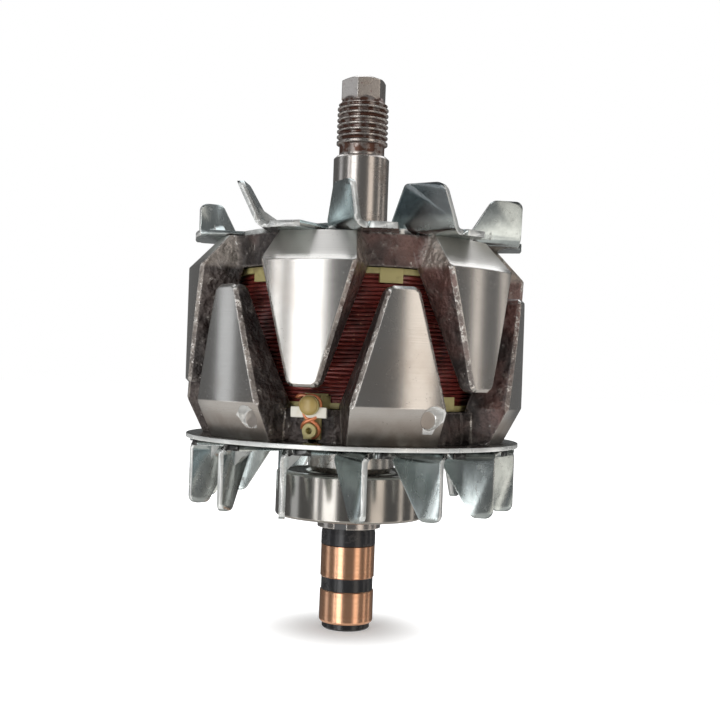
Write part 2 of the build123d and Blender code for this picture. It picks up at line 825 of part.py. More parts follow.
rear_outline = [
    (0, -1),
    (0, rear_blade_height),
    (rear_blade_tip, rear_blade_height),
    (rear_blade_length, fan_sheet + fan_bend_radius),
    (rear_blade_length, -1),
]
rear_azimuths = [rear_blade_start + 360 / rear_blade_count * k for k in range(rear_blade_count)]
rear_fan_top_z = rear_fan_z + fan_sheet
rear_fan = make_fan(
    rear_fan_top_z,
    -1,
    rear_hub_radius,
    [
        make_blade(
            azimuth, rear_blade_sweep, 0.0, rear_outline,
            rear_blade_length, rear_blade_height, rear_fan_top_z, -1,
        )
        for azimuth in rear_azimuths
    ],
    [
        lobe_points(azimuth, rear_blade_sweep, rear_blade_length, rear_lobe_angle)
        for azimuth in rear_azimuths
    ],
)
save(rear_fan, "rear_fan")

with BuildPart() as rear_fan_disc:
    with BuildSketch(Plane.XY.offset(rear_face_z - rear_disc_thickness)):
        Circle(rear_disc_radius)
        Circle(fan_hole_radius, mode=Mode.SUBTRACT)
    extrude(amount=rear_disc_thickness)
save(rear_fan_disc, "rear_fan_disc")
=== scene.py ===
"""Looks of a claw-pole alternator rotor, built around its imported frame.

The shaft lies on Z and the rotor stands on its slip-ring end at z = 0. Lengths are in metres.
Azimuths are in degrees round +Z, with 0 along +X.
"""
from __future__ import annotations

import json
import logging
from contextlib import contextmanager
from dataclasses import dataclass, field
from enum import Enum, IntEnum
from math import atan2, cos, degrees, pi, radians, sin
from typing import Any, Iterator, Sequence

import bpy
from mathutils import Matrix, Vector

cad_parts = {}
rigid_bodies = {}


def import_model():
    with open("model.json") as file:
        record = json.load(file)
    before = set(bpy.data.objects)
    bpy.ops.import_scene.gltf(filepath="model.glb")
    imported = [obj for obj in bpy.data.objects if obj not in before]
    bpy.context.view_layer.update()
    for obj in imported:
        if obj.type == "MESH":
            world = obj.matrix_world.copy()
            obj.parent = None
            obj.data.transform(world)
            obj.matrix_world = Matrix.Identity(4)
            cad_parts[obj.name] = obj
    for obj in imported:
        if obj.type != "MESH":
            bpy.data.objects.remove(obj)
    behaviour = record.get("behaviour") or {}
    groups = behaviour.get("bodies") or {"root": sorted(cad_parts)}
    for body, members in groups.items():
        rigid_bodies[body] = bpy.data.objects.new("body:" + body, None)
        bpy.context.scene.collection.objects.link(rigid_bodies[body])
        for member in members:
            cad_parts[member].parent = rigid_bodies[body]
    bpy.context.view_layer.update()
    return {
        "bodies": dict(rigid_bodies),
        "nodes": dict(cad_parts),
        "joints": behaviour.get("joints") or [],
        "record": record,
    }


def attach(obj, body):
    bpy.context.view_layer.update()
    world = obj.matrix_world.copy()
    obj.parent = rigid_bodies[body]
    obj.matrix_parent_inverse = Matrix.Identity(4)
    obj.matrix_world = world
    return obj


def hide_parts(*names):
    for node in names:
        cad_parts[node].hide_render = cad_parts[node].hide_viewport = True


MM = 0.001
CAMERA_AZIMUTH = -104.4
Colour = tuple[float, float, float]
Span = tuple[float, float]

log = logging.getLogger("rotor")


class Body(Enum):
    """The bodies of the frame."""

    ROTOR = "rotor"
    BEARING_OUTER = "bearing_outer"
    BALL_TRAIN = "ball_train"


class Maths(Enum):
    """Operations of a Math node that the finishes use."""

    ADD = "ADD"
    SUBTRACT = "SUBTRACT"
    MULTIPLY = "MULTIPLY"
    SQRT = "SQRT"
    SINE = "SINE"


class PoleFace(IntEnum):
    """Material slots of a claw pole."""

    FLANK = 0
    TURNED = 1
    EDGE = 2
    DRILLED_HIGHLIT = 3


class SheetFace(IntEnum):
    """Material slots of a fan."""

    SHEET = 0
    EDGE = 1
    RIM = 2


class Signal:
    """A number that a socket carries, with Python's operators.

    Args:
        shader: the shader that new Math nodes join.
        socket: the output socket that carries the number.
    """

    def __init__(self, shader: "Shader", socket: bpy.types.NodeSocket) -> None:
        """Wrap a socket of a shader."""
        self.shader = shader
        self.socket = socket

    def _with(self, operation: Maths, *terms: "Signal | float") -> "Signal":
        """Add a Math node.

        Args:
            operation: what the node does.
            terms: its inputs, in order.

        Returns:
            The node's result.
        """
        node = self.shader.node("ShaderNodeMath", {"operation": operation.value})
        for slot, term in enumerate(terms):
            self.shader.feed(node.inputs[slot], term)
        return Signal(self.shader, node.outputs[0])

    def __add__(self, other: "Signal | float") -> "Signal":
        """Return self + other."""
        return self._with(Maths.ADD, self, other)

    __radd__ = __add__

    def __sub__(self, other: "Signal | float") -> "Signal":
        """Return self - other."""
        return self._with(Maths.SUBTRACT, self, other)

    def __rsub__(self, other: "Signal | float") -> "Signal":
        """Return other - self."""
        return self._with(Maths.SUBTRACT, other, self)

    def __mul__(self, other: "Signal | float") -> "Signal":
        """Return self * other."""
        return self._with(Maths.MULTIPLY, self, other)

    __rmul__ = __mul__

    def sine(self) -> "Signal":
        """Return the sine of self."""
        return self._with(Maths.SINE, self)

    def root(self) -> "Signal":
        """Return the square root of self."""
        return self._with(Maths.SQRT, self)

    def between(self, low: float, high: float) -> "Signal":
        """Return a smooth step.

        Args:
            low: where the step starts, at 0.
            high: where it ends, at 1.

        Returns:
            The step, from 0 to 1.
        """
        node = self.shader.node(
            "ShaderNodeMapRange",
            {"interpolation_type": "SMOOTHSTEP", "clamp": True},
            Value=self, **{"From Min": low, "From Max": high},
        )
        return Signal(self.shader, node.outputs[0])


class Shader:
    """A material in the making: its nodes and the maths between them."""

    def __init__(self, name: str) -> None:
        """Start a material with its surface and its Object coordinates.

        Args:
            name: the name of the material.
        """
        self.material = bpy.data.materials.new(name)
        self.material.use_nodes = True
        self.tree = self.material.node_tree
        self.surface = next(n for n in self.tree.nodes if n.type == "BSDF_PRINCIPLED")
        self.place = self.node("ShaderNodeTexCoord").outputs["Object"]

    def node(self, kind: str, settings: dict[str, Any] | None = None, **values: Any) -> bpy.types.Node:
        """Add a node.

        Args:
            kind: the node's type.
            settings: attributes of the node, set first.
            values: values or links of the node's input sockets, by name.

        Returns:
            The new node.
        """
        node = self.tree.nodes.new(kind)
        for key, value in (settings or {}).items():
            setattr(node, key, value)
        for key, value in values.items():
            self.feed(node.inputs[key], value)
        return node

    def feed(self, socket: bpy.types.NodeSocket, value: Any) -> None:
        """Link a value to a socket, or set it there.

        Args:
            socket: the input socket.
            value: a signal, an output socket, a colour or a plain value.
        """
        if isinstance(value, Signal):
            self.tree.links.new(value.socket, socket)
        elif isinstance(value, bpy.types.NodeSocket):
            self.tree.links.new(value, socket)
        elif isinstance(value, tuple) and socket.type == "RGBA" and len(value) == 3:
            socket.default_value = (*value, 1.0)
        else:
            socket.default_value = value

    def axes(self) -> tuple[Signal, Signal, Signal]:
        """Return x, y and z of the point in metres."""
        node = self.node("ShaderNodeSeparateXYZ", Vector=self.place)
        return tuple(Signal(self, out) for out in node.outputs)

    def radius(self) -> Signal:
        """Return the distance of the point from the shaft axis, in metres."""
        x, y, _ = self.axes()
        return (x * x + y * y).root()

    def stretched(self, scale: Sequence[float]) -> bpy.types.NodeSocket:
        """Return Object coordinates scaled along each axis."""
        node = self.node("ShaderNodeMapping", Vector=self.place, Scale=tuple(scale))
        return node.outputs[0]

    def noise(
        self, scale: float, detail: float = 3.0, stretch: Sequence[float] = (1, 1, 1), rough: float = 0.55
    ) -> Signal:
        """Return a noise of about 0 to 1.

        Args:
            scale: features per metre.
            detail: octaves of the noise.
            stretch: extra scale along each axis.
            rough: weight of the finer octaves.

        Returns:
            The noise.
        """
        place = self.place if tuple(stretch) == (1, 1, 1) else self.stretched(stretch)
        node = self.node(
            "ShaderNodeTexNoise", Vector=place, Scale=scale, Detail=detail, Roughness=rough
        )
        return Signal(self, node.outputs["Fac"])

    def cells(self, scale: float) -> Signal:
        """Return the distance to the nearest cell of a pattern with this many cells per metre."""
        node = self.node("ShaderNodeTexVoronoi", Vector=self.place, Scale=scale)
        return Signal(self, node.outputs["Distance"])

    def rings(self, scale: float, detail: float = 2.0) -> Signal:
        """Return fine lines that run round the shaft, as a turning tool leaves them.

        Args:
            scale: lines per metre.
            detail: octaves of finer lines.

        Returns:
            The lines, about 0 to 1.
        """
        _, _, z = self.axes()
        line = self.node("ShaderNodeCombineXYZ", Z=z)
        node = self.node(
            "ShaderNodeTexNoise", Vector=line.outputs[0], Scale=scale, Detail=detail, Roughness=0.7
        )
        return Signal(self, node.outputs["Fac"])

    def mix(self, factor: Signal | float, first: Any, second: Any) -> bpy.types.NodeSocket:
        """Return a colour between two colours.

        Args:
            factor: 0 for the first colour, 1 for the second.
            first: a colour or a socket.
            second: a colour or a socket.

        Returns:
            The mixed colour.
        """
        node = self.node("ShaderNodeMix", {"data_type": "RGBA"})
        self.feed(node.inputs[0], factor)
        self.feed(node.inputs[6], first)
        self.feed(node.inputs[7], second)
        return node.outputs[2]

    def bump(
        self, height: Signal, depth: float, after: bpy.types.NodeSocket | None = None
    ) -> bpy.types.NodeSocket:
        """Return a normal that a height pattern tilts.

        Args:
            height: the pattern, about 0 to 1.
            depth: its depth in metres.
            after: a normal that this one is laid over.

        Returns:
            The normal.
        """
        values = {"Height": height, "Distance": depth, "Strength": 1.0}
        if after is not None:
            values["Normal"] = after
        return self.node("ShaderNodeBump", **values).outputs[0]

    def rounded(self, reach: float) -> bpy.types.NodeSocket:
        """Return the normal of the surface with its edges rounded over a reach in metres."""
        return self.node("ShaderNodeBevel", {"samples": 6}, Radius=reach).outputs[0]

    def edges(self, reach: float, turn: Span = (0.005, 0.12)) -> Signal:
        """Return where the edges are.

        Args:
            reach: width of an edge in metres.
            turn: how far the rounded normal has turned where an edge starts, and where it is full.

        Returns:
            1 at edges and 0 away from them.
        """
        product = self.node("ShaderNodeVectorMath", {"operation": "DOT_PRODUCT"})
        self.feed(product.inputs[0], self.rounded(reach))
        self.feed(product.inputs[1], self.node("ShaderNodeNewGeometry").outputs["Normal"])
        return (1 - Signal(self, product.outputs["Value"])).between(*turn)

    def finish(self, **values: Any) -> bpy.types.Material:
        """Set or link the surface's sockets.

        Args:
            values: values or links by socket name, with _ for a space.

        Returns:
            The material.
        """
        for key, value in values.items():
            self.feed(self.surface.inputs[key.replace("_", " ")], value)
        return self.material


@dataclass(frozen=True)
class Finish:
    """A finish that pieces share. Its material is made once.

    Attributes:
        name: the name of the material.
    """

    name: str

    def material(self) -> bpy.types.Material:
        """Return the material, made on first use."""
        made = bpy.data.materials.get(self.name)
        return made if made else self.make(Shader(self.name))

    def make(self, shader: Shader) -> bpy.types.Material:
        """Build the material.

        Args:
            shader: the shader that it is built in.

        Returns:
            The material.
        """
        raise NotImplementedError


@dataclass(frozen=True)
class TurnedSteel(Finish):
    """Turned bright steel with tool lines round the axis, stains and rust where asked.

    Attributes:
        colour: the clean metal.
        stain: the colour of old stains.
        stain_amount: how much of the surface is stained, 0 to 1.
        roughness: roughness of the clean metal.
        line_scale: tool lines per metre.
        line_shade: share of the colour that is left in the tool lines.
        wear_and_highlight: the colour of worn edges, partly a painted highlight.
        rust: the colour of rust.
        rust_from: height over which rust gathers in the grooves, in metres.
        rust_length: length of the rusty stretch.
        rust_radius: radius under which it gathers.
        groove_depth: depth of a groove.
        spot: the colour of the small spots.
        spot_from: heights between which the spots set in.
    """

    colour: Colour = (0.60, 0.56, 0.53)
    stain: Colour = (0.30, 0.24, 0.20)
    stain_amount: float = 0.35
    roughness: float = 0.18
    line_scale: float = 5200.0
    line_shade: float = 0.62
    wear_and_highlight: Colour = (0.82, 0.79, 0.75)
    rust: Colour = (0.105, 0.046, 0.030)
    rust_from: float = 10.0
    rust_length: float = 14.5 * MM
    rust_radius: float = 0.0
    groove_depth: float = 0.6 * MM
    spot: Colour = (0.26, 0.10, 0.12)
    spot_from: Span = (104 * MM, 106 * MM)

    def make(self, shader: Shader) -> bpy.types.Material:
        """Build the material.

        Args:
            shader: the shader that it is built in.

        Returns:
            The material.
        """
        lines = shader.rings(self.line_scale)
        cloud = shader.noise(140.0, 5.0)
        grain = shader.noise(2600.0, 3.0)
        stained = (cloud + grain * 0.25).between(0.78 - self.stain_amount * 0.3, 0.86)
        _, _, z = shader.axes()
        lined = tuple(part * self.line_shade for part in self.colour)
        colour = shader.mix(lines.between(0.3, 0.75) * 0.35, self.colour, lined)
        colour = shader.mix(stained * self.stain_amount * 2.0, colour, self.stain)
        groove = 1 - shader.radius().between(self.rust_radius - self.groove_depth, self.rust_radius)
        end = z.between(self.rust_from, self.rust_from + 1 * MM)
        rust_top = self.rust_from + self.rust_length
        low = 1 - z.between(rust_top, rust_top + 1.5 * MM)
        patches = shader.noise(520.0, 4.0).between(0.35, 0.62)
        rusted = end * (groove * low * (patches * 0.4 + 0.45) + low * patches * 0.30 + patches * 0.06)
        spots = z.between(*self.spot_from) * shader.noise(700.0, 3.0).between(0.68, 0.71)
        # Lighter rounded edges: wear, partly a painted highlight.
        colour = shader.mix(shader.edges(0.5 * MM) * 0.6, colour, self.wear_and_highlight)
        colour = shader.mix(rusted, colour, self.rust)
        colour = shader.mix(spots * 0.6, colour, self.spot)
        rough = lines * 0.10 + stained * 0.16 + rusted * 0.12 + self.roughness
        return shader.finish(
            Base_Color=colour, Metallic=1 - rusted * 0.35, Roughness=rough,
            Normal=shader.bump(lines, 0.010 * MM, shader.bump(grain, 0.003 * MM, shader.rounded(0.4 * MM))),
        )


@dataclass(frozen=True)
class MachinedPole(Finish):
    """Outside of the claws after turning: bright, with lines, pits, a warm stain near the fan and painted
    shade on the lower cones.

    Attributes:
        metal: the clean metal.
        lined: the metal in the tool lines.
        cloudy: the metal where it is tarnished.
        stain: the colour of the stain near the rear fan.
        stain_heights: heights over which the stain fades out.
        pit: the colour of the small pits.
        band: the colour of the painted shade on the cones beside the rear fan.
        cone_shade_heights: heights over which that painted shade fades out.
        cone_radii: radii between which a cone turns into the round face.
    """

    metal: Colour = (0.72, 0.70, 0.67)
    lined: Colour = (0.64, 0.62, 0.595)
    cloudy: Colour = (0.56, 0.50, 0.45)
    stain: Colour = (0.30, 0.22, 0.18)
    stain_heights: Span = (52.5 * MM, 60 * MM)
    pit: Colour = (0.16, 0.13, 0.12)
    band: Colour = (0.40, 0.355, 0.32)
    cone_shade_heights: Span = (66 * MM, 70 * MM)
    cone_radii: Span = (42.5 * MM, 44.6 * MM)

    def make(self, shader: Shader) -> bpy.types.Material:
        """Build the material.

        Args:
            shader: the shader that it is built in.

        Returns:
            The material.
        """
        lines = shader.rings(3600.0, 3.0)
        broad = shader.rings(420.0, 1.0)
        cloud = shader.noise(60.0, 4.0)
        pits = 1 - shader.cells(1500.0).between(0.06, 0.2)
        pits = pits * shader.noise(260.0, 3.0).between(0.5, 0.66)
        _, _, z = shader.axes()
        warm = (1 - z.between(*self.stain_heights)) * shader.noise(180.0, 4.0).between(0.42, 0.6)
        colour = shader.mix(lines.between(0.25, 0.8), self.metal, self.lined)
        colour = shader.mix(cloud.between(0.45, 0.7) * 0.45, colour, self.cloudy)
        colour = shader.mix(warm * 0.7, colour, self.stain)
        colour = shader.mix(pits * 0.8, colour, self.pit)
        cone = 1 - shader.radius().between(*self.cone_radii)
        # Painted shade: the cones low down beside the rear fan are darkened.
        shaded_low_cone = cone * (1 - z.between(*self.cone_shade_heights))
        colour = shader.mix(shaded_low_cone * 0.65, colour, self.band)
        rough = lines * 0.04 + broad * 0.03 + cloud * 0.10 + pits * 0.3 + cone * 0.22 + 0.13
        return shader.finish(
            Base_Color=colour, Metallic=1.0, Roughness=rough,
            Normal=shader.bump(lines, 0.004 * MM, shader.bump(broad, 0.012 * MM, shader.rounded(0.5 * MM))),
        )


@dataclass(frozen=True)
class ForgedPole(Finish):
    """Rough forged flanks and valleys, dark with impregnating varnish, and bright specks that are partly
    bare metal and partly painted glints.

    Attributes:
        speck: how many more bright specks there are.
        shine: how far the lumps are rubbed bright, 0 to 1.
        dark: the colour of the hollows.
        light: the colour of the rest.
        varnish: the colour where the varnish is thick.
        rim: the colour of the valley rims at the front fan.
        rim_heights: heights between which a rim sets in.
        rim_radii: radii between which it sets in.
        rubbed: the colour of rubbed lumps.
        wear_and_highlight: the colour of worn edges, partly a painted highlight.
        bare_and_glint: the colour of the specks, partly bare metal and partly painted glints.
    """

    speck: float = 0.0
    shine: float = 0.25
    dark: Colour = (0.045, 0.038, 0.036)
    light: Colour = (0.095, 0.075, 0.068)
    varnish: Colour = (0.20, 0.085, 0.070)
    rim: Colour = (0.44, 0.38, 0.335)
    rim_heights: Span = (93.5 * MM, 95.5 * MM)
    rim_radii: Span = (34.5 * MM, 37.5 * MM)
    rubbed: Colour = (0.42, 0.37, 0.33)
    wear_and_highlight: Colour = (0.40, 0.355, 0.33)
    bare_and_glint: Colour = (0.78, 0.75, 0.71)

    def make(self, shader: Shader) -> bpy.types.Material:
        """Build the material.

        Args:
            shader: the shader that it is built in.

        Returns:
            The material.
        """
        cloud = shader.noise(75.0, 4.0)
        grain = shader.noise(1500.0, 5.0, rough=0.65)
        lumps = shader.noise(420.0, 4.0)
        x, _, z = shader.axes()
        side = (x * 9.0 + cloud * 1.6 + (z - 0.08) * 12.0).between(0.72, 1.25)
        rim = z.between(*self.rim_heights) * shader.radius().between(*self.rim_radii)
        colour = shader.mix(cloud.between(0.40, 0.64), self.dark, self.light)
        colour = shader.mix(side * 0.6, colour, self.varnish)
        colour = shader.mix(rim * 0.85, colour, self.rim)
        colour = shader.mix(lumps.between(0.52, 0.72) * self.shine, colour, self.rubbed)
        # Lighter rounded edges: wear, partly a painted highlight.
        wear_and_highlight = shader.edges(0.9 * MM)
        colour = shader.mix(wear_and_highlight * 0.55, colour, self.wear_and_highlight)
        # Specks gather on edges and rims: bare metal, partly painted glints where those catch the light.
        roughest = grain * 0.7 + lumps * 0.5 + rim * 0.03 + wear_and_highlight * 0.11
        specks = roughest.between(0.745 - self.speck, 0.785 - self.speck)
        colour = shader.mix(specks * 0.9, colour, self.bare_and_glint)
        hills = shader.noise(150.0, 3.0)
        rough = 0.44 - cloud * 0.2 - specks * 0.12 - rim * 0.06
        return shader.finish(
            Base_Color=colour, Metallic=specks * 0.4 + rim * 0.2 + 0.4, Roughness=rough,
            Coat_Weight=side * 0.3 + 0.1,
            Normal=shader.bump(grain, 0.22 * MM, shader.bump(lumps, 0.9 * MM, shader.bump(
                hills, 3.0 * MM, shader.rounded(1.2 * MM)))),
        )


@dataclass(frozen=True)
class ZincPlate(Finish):
    """Zinc-plated sheet with a blue-green tint, rolled streaks and, where asked, painted shade on one blade.

    Attributes:
        colour: the clean plating.
        dent: how dented the sheet is.
        metal: how metallic it is, 0 to 1.
        dirt: how dirty it is, 0 to 1.
        blade_shade: how strongly one blade of the front fan is painted dark as shade, 0 to 1.
        shade: share of the colour that is left in the clouds.
        streak: the colour of the rolled streaks.
        grime: the colour of the dirt.
        painted_shade: the colour of the painted shade on that blade.
        shade_azimuth: direction in which the place of that blade is measured, in degrees.
        shade_start: distances that way over which the painted shade sets in.
        shade_end: distances over which it fades out.
        shade_depth: distances along Y behind which it fades out.
        shade_heights: heights over which it sets in.
        wear_and_highlight: the colour of worn edges, partly a painted highlight.
    """

    colour: Colour = (0.60, 0.665, 0.665)
    dent: float = 1.0
    metal: float = 1.0
    dirt: float = 0.5
    blade_shade: float = 0.0
    shade: float = 0.72
    streak: Colour = (0.74, 0.79, 0.78)
    grime: Colour = (0.20, 0.18, 0.15)
    painted_shade: Colour = (0.135, 0.155, 0.175)
    shade_azimuth: float = -14.4
    shade_start: Span = (5.0 * MM, 7.5 * MM)
    shade_end: Span = (24.5 * MM, 27.5 * MM)
    shade_depth: Span = (-26 * MM, -20 * MM)
    shade_heights: Span = (105 * MM, 107.5 * MM)
    wear_and_highlight: Colour = (0.90, 0.91, 0.89)

    def make(self, shader: Shader) -> bpy.types.Material:
        """Build the material.

        Args:
            shader: the shader that it is built in.

        Returns:
            The material.
        """
        x, y, z = shader.axes()
        # Painted shade: a dark patch on one blade of the front fan, placed by direction, depth and height.
        across = x * cos(radians(self.shade_azimuth)) + y * sin(radians(self.shade_azimuth))
        painted_shade = across.between(*self.shade_start) * (1 - across.between(*self.shade_end))
        painted_shade = painted_shade * (1 - y.between(*self.shade_depth)) * z.between(*self.shade_heights) * self.blade_shade
        cloud = shader.noise(110.0, 4.0)
        streak = shader.noise(420.0, 4.0, stretch=(1.0, 1.0, 0.3))
        grain = shader.noise(3000.0, 2.0)
        dirt = shader.noise(420.0, 5.0).between(0.62, 0.76)
        clouded = tuple(part * self.shade for part in self.colour)
        colour = shader.mix(cloud.between(0.35, 0.65), self.colour, clouded)
        colour = shader.mix(streak.between(0.5, 0.75) * 0.4, colour, self.streak)
        colour = shader.mix(dirt * self.dirt, colour, self.grime)
        colour = shader.mix(painted_shade, colour, self.painted_shade)
        # Near-white rounded edges: wear, partly a painted highlight.
        colour = shader.mix(shader.edges(0.6 * MM) * 0.7, colour, self.wear_and_highlight)
        rough = cloud * 0.20 + streak * 0.10 + dirt * 0.2 + 0.10
        return shader.finish(
            Base_Color=colour, Metallic=self.metal - dirt * 0.3, Roughness=rough,
            Normal=shader.bump(grain, 0.005 * MM, shader.bump(
                cloud, 0.12 * MM * self.dent, shader.rounded(0.5 * MM))),
        )


@dataclass(frozen=True)
class RingCopper(Finish):
    """Slip-ring copper, polished in bands by the brushes.

    Attributes:
        copper: the clean copper.
        band: the colour of the darker bands.
        bright: the colour of fresh brush lines.
        burnt: the colour of burnt patches.
    """

    copper: Colour = (0.90, 0.52, 0.33)
    band: Colour = (0.74, 0.36, 0.21)
    bright: Colour = (0.96, 0.68, 0.50)
    burnt: Colour = (0.42, 0.19, 0.11)

    def make(self, shader: Shader) -> bpy.types.Material:
        """Build the material.

        Args:
            shader: the shader that it is built in.

        Returns:
            The material.
        """
        lines = shader.rings(9000.0, 3.0)
        broad = shader.rings(900.0, 2.0)
        cloud = shader.noise(200.0, 4.0)
        colour = shader.mix(broad.between(0.35, 0.7) * 0.5, self.copper, self.band)
        colour = shader.mix(lines.between(0.55, 0.85) * 0.3, colour, self.bright)
        colour = shader.mix(cloud.between(0.6, 0.75) * 0.4, colour, self.burnt)
        return shader.finish(
            Base_Color=colour, Metallic=1.0, Roughness=lines * 0.10 + broad * 0.10 + 0.14,
            Normal=shader.bump(lines, 0.004 * MM, shader.bump(broad, 0.010 * MM)),
        )


@dataclass(frozen=True)
class Enamel(Finish):
    """Enamelled copper wire under baked varnish.

    Attributes:
        colour: the enamel.
        shade: share of the colour that is left where the varnish is thick.
        rubbed: the colour where the enamel is rubbed.
    """

    colour: Colour = (0.25, 0.042, 0.034)
    shade: float = 0.45
    rubbed: Colour = (0.80, 0.38, 0.22)

    def make(self, shader: Shader) -> bpy.types.Material:
        """Build the material.

        Args:
            shader: the shader that it is built in.

        Returns:
            The material.
        """
        cloud = shader.noise(160.0, 4.0)
        fine = shader.noise(1400.0, 3.0)
        thick = tuple(part * self.shade for part in self.colour)
        colour = shader.mix(cloud.between(0.4, 0.65), self.colour, thick)
        colour = shader.mix(fine.between(0.62, 0.75) * 0.5, colour, self.rubbed)
        return shader.finish(
            Base_Color=colour, Metallic=0.35, Roughness=fine * 0.2 + 0.26, Coat_Weight=0.6,
            Coat_Roughness=0.18, Normal=shader.bump(fine, 0.04 * MM),
        )


@dataclass(frozen=True)
class Moulding(Finish):
    """Moulded plastic with a fine skin, light dust and darker corners.

    Attributes:
        colour: the clean plastic.
        dust: the colour of what lies on it.
        roughness: roughness of the clean skin.
    """

    colour: Colour = (0.02, 0.02, 0.022)
    dust: Colour = (0.16, 0.14, 0.12)
    roughness: float = 0.38

    def make(self, shader: Shader) -> bpy.types.Material:
        """Build the material.

        Args:
            shader: the shader that it is built in.

        Returns:
            The material.
        """
        cloud = shader.noise(240.0, 5.0)
        skin = shader.noise(3800.0, 2.0)
        dusty = cloud.between(0.52, 0.72)
        colour = shader.mix(dusty * 0.5, self.colour, self.dust)
        return shader.finish(
            Base_Color=colour, Roughness=dusty * 0.25 + skin * 0.08 + self.roughness,
            Normal=shader.bump(skin, 0.02 * MM),
        )


@dataclass(frozen=True)
class GroundSteel(Finish):
    """Ground and polished steel.

    Attributes:
        colour: the clean steel.
        roughness: its roughness.
        metal: how metallic it is, 0 to 1.
        shade: share of the colour that is left in the clouds.
        mark: the colour of small marks.
    """

    colour: Colour = (0.45, 0.43, 0.40)
    roughness: float = 0.10
    metal: float = 1.0
    shade: float = 0.8
    mark: Colour = (0.22, 0.16, 0.12)

    def make(self, shader: Shader) -> bpy.types.Material:
        """Build the material.

        Args:
            shader: the shader that it is built in.

        Returns:
            The material.
        """
        lines = shader.rings(12000.0, 2.0)
        cloud = shader.noise(120.0, 4.0)
        marks = shader.noise(900.0, 4.0).between(0.66, 0.74)
        clouded = tuple(part * self.shade for part in self.colour)
        colour = shader.mix(cloud.between(0.4, 0.7) * 0.5, self.colour, clouded)
        colour = shader.mix(marks * 0.6, colour, self.mark)
        return shader.finish(
            Base_Color=colour, Metallic=self.metal,
            Roughness=lines * 0.05 + cloud * 0.08 + marks * 0.2 + self.roughness,
            Normal=shader.bump(lines, 0.003 * MM),
        )


@dataclass(frozen=True)
class PressedSheet(Finish):
    """Dull pressed steel of the ball cage and its rivets.

    Attributes:
        light: the lighter parts of the sheet.
        dark: the darker parts.
    """

    light: Colour = (0.55, 0.52, 0.46)
    dark: Colour = (0.36, 0.33, 0.29)

    def make(self, shader: Shader) -> bpy.types.Material:
        """Build the material.

        Args:
            shader: the shader that it is built in.

        Returns:
            The material.
        """
        cloud = shader.noise(500.0, 4.0)
        return shader.finish(
            Base_Color=shader.mix(cloud.between(0.35, 0.7), self.light, self.dark),
            Metallic=1.0, Roughness=cloud * 0.2 + 0.3, Normal=shader.bump(cloud, 0.04 * MM),
        )


@dataclass(frozen=True)
class SealRubber(Finish):
    """Moulded seal rubber with a thin film of grease and dust.

    Attributes:
        clean: the rubber.
        dusty: the rubber under the film.
        rib: distance between its fine ribs.
    """

    clean: Colour = (0.035, 0.024, 0.020)
    dusty: Colour = (0.11, 0.075, 0.055)
    rib: float = 1.1 * MM

    def make(self, shader: Shader) -> bpy.types.Material:
        """Build the material.

        Args:
            shader: the shader that it is built in.

        Returns:
            The material.
        """
        cloud = shader.noise(260.0, 5.0)
        ribs = (shader.radius() * (2 * pi / self.rib)).sine()
        return shader.finish(
            Base_Color=shader.mix(cloud.between(0.45, 0.7), self.clean, self.dusty),
            Roughness=cloud * 0.3 + 0.35, Normal=shader.bump(ribs * 0.5 + 0.5, 0.08 * MM),
        )


@dataclass(frozen=True)
class Sleeving(Finish):
    """Woven glass sleeving, varnished.

    Attributes:
        varnished: the colour between the threads.
        glass: the colour of the threads.
        threads: turns of the weave's wave per metre, in radians.
    """

    varnished: Colour = (0.42, 0.30, 0.16)
    glass: Colour = (0.72, 0.62, 0.42)
    threads: float = 9000.0

    def make(self, shader: Shader) -> bpy.types.Material:
        """Build the material.

        Args:
            shader: the shader that it is built in.

        Returns:
            The material.
        """
        x, y, z = shader.axes()
        weave = ((x + y + z) * self.threads).sine() * ((x - y + z * 0.5) * self.threads).sine()
        colour = shader.mix(weave.between(-0.4, 0.6), self.varnished, self.glass)
        return shader.finish(Base_Color=colour, Roughness=0.6, Normal=shader.bump(weave, 0.08 * MM))


SHAFT_STEEL = TurnedSteel("turned shaft steel", rust_from=126.8 * MM, rust_radius=6.9 * MM)
SPACER_STEEL = TurnedSteel("turned spacer steel", colour=(0.60, 0.58, 0.55), stain_amount=0.5)
POLE_FACE = MachinedPole("machined claw faces")
# Claw edge faces: lighter, fully rubbed and more speckled than the flanks, a painted highlight where the
# chamfers catch the light.
POLE_EDGE_HIGHLIGHT = ForgedPole(
    "claw edge, painted highlight with specks", speck=0.10, shine=1.0,
    dark=(0.20, 0.175, 0.16), light=(0.34, 0.30, 0.27),
)
# Bare drilled steel, made near-white and half metallic: partly a painted highlight in the pits.
DRILLED_HIGHLIT = GroundSteel("drilled balance pits, partly painted highlight", colour=(0.78, 0.78, 0.76), roughness=0.16, metal=0.55)
POLE_FLANK = ForgedPole("forged flanks with varnish")
# One blade of the front fan gets painted shade.
ZINC = ZincPlate("zinc-plated fan sheet", blade_shade=0.80)
# Near-white, half-metallic blade edges, open fan rim and disc rim: a painted highlight along the sheet
# edges.
ZINC_EDGE_HIGHLIGHT = ZincPlate("sheared fan edge, painted highlight", colour=(0.84, 0.85, 0.83), dent=0.2, metal=0.4, dirt=0.1)
# Dark grey disc faces: painted shade, beside the painted highlight on the disc's rim.
ZINC_PAINTED_SHADE = ZincPlate("dull face of the disc", colour=(0.20, 0.205, 0.195), dent=0.6)
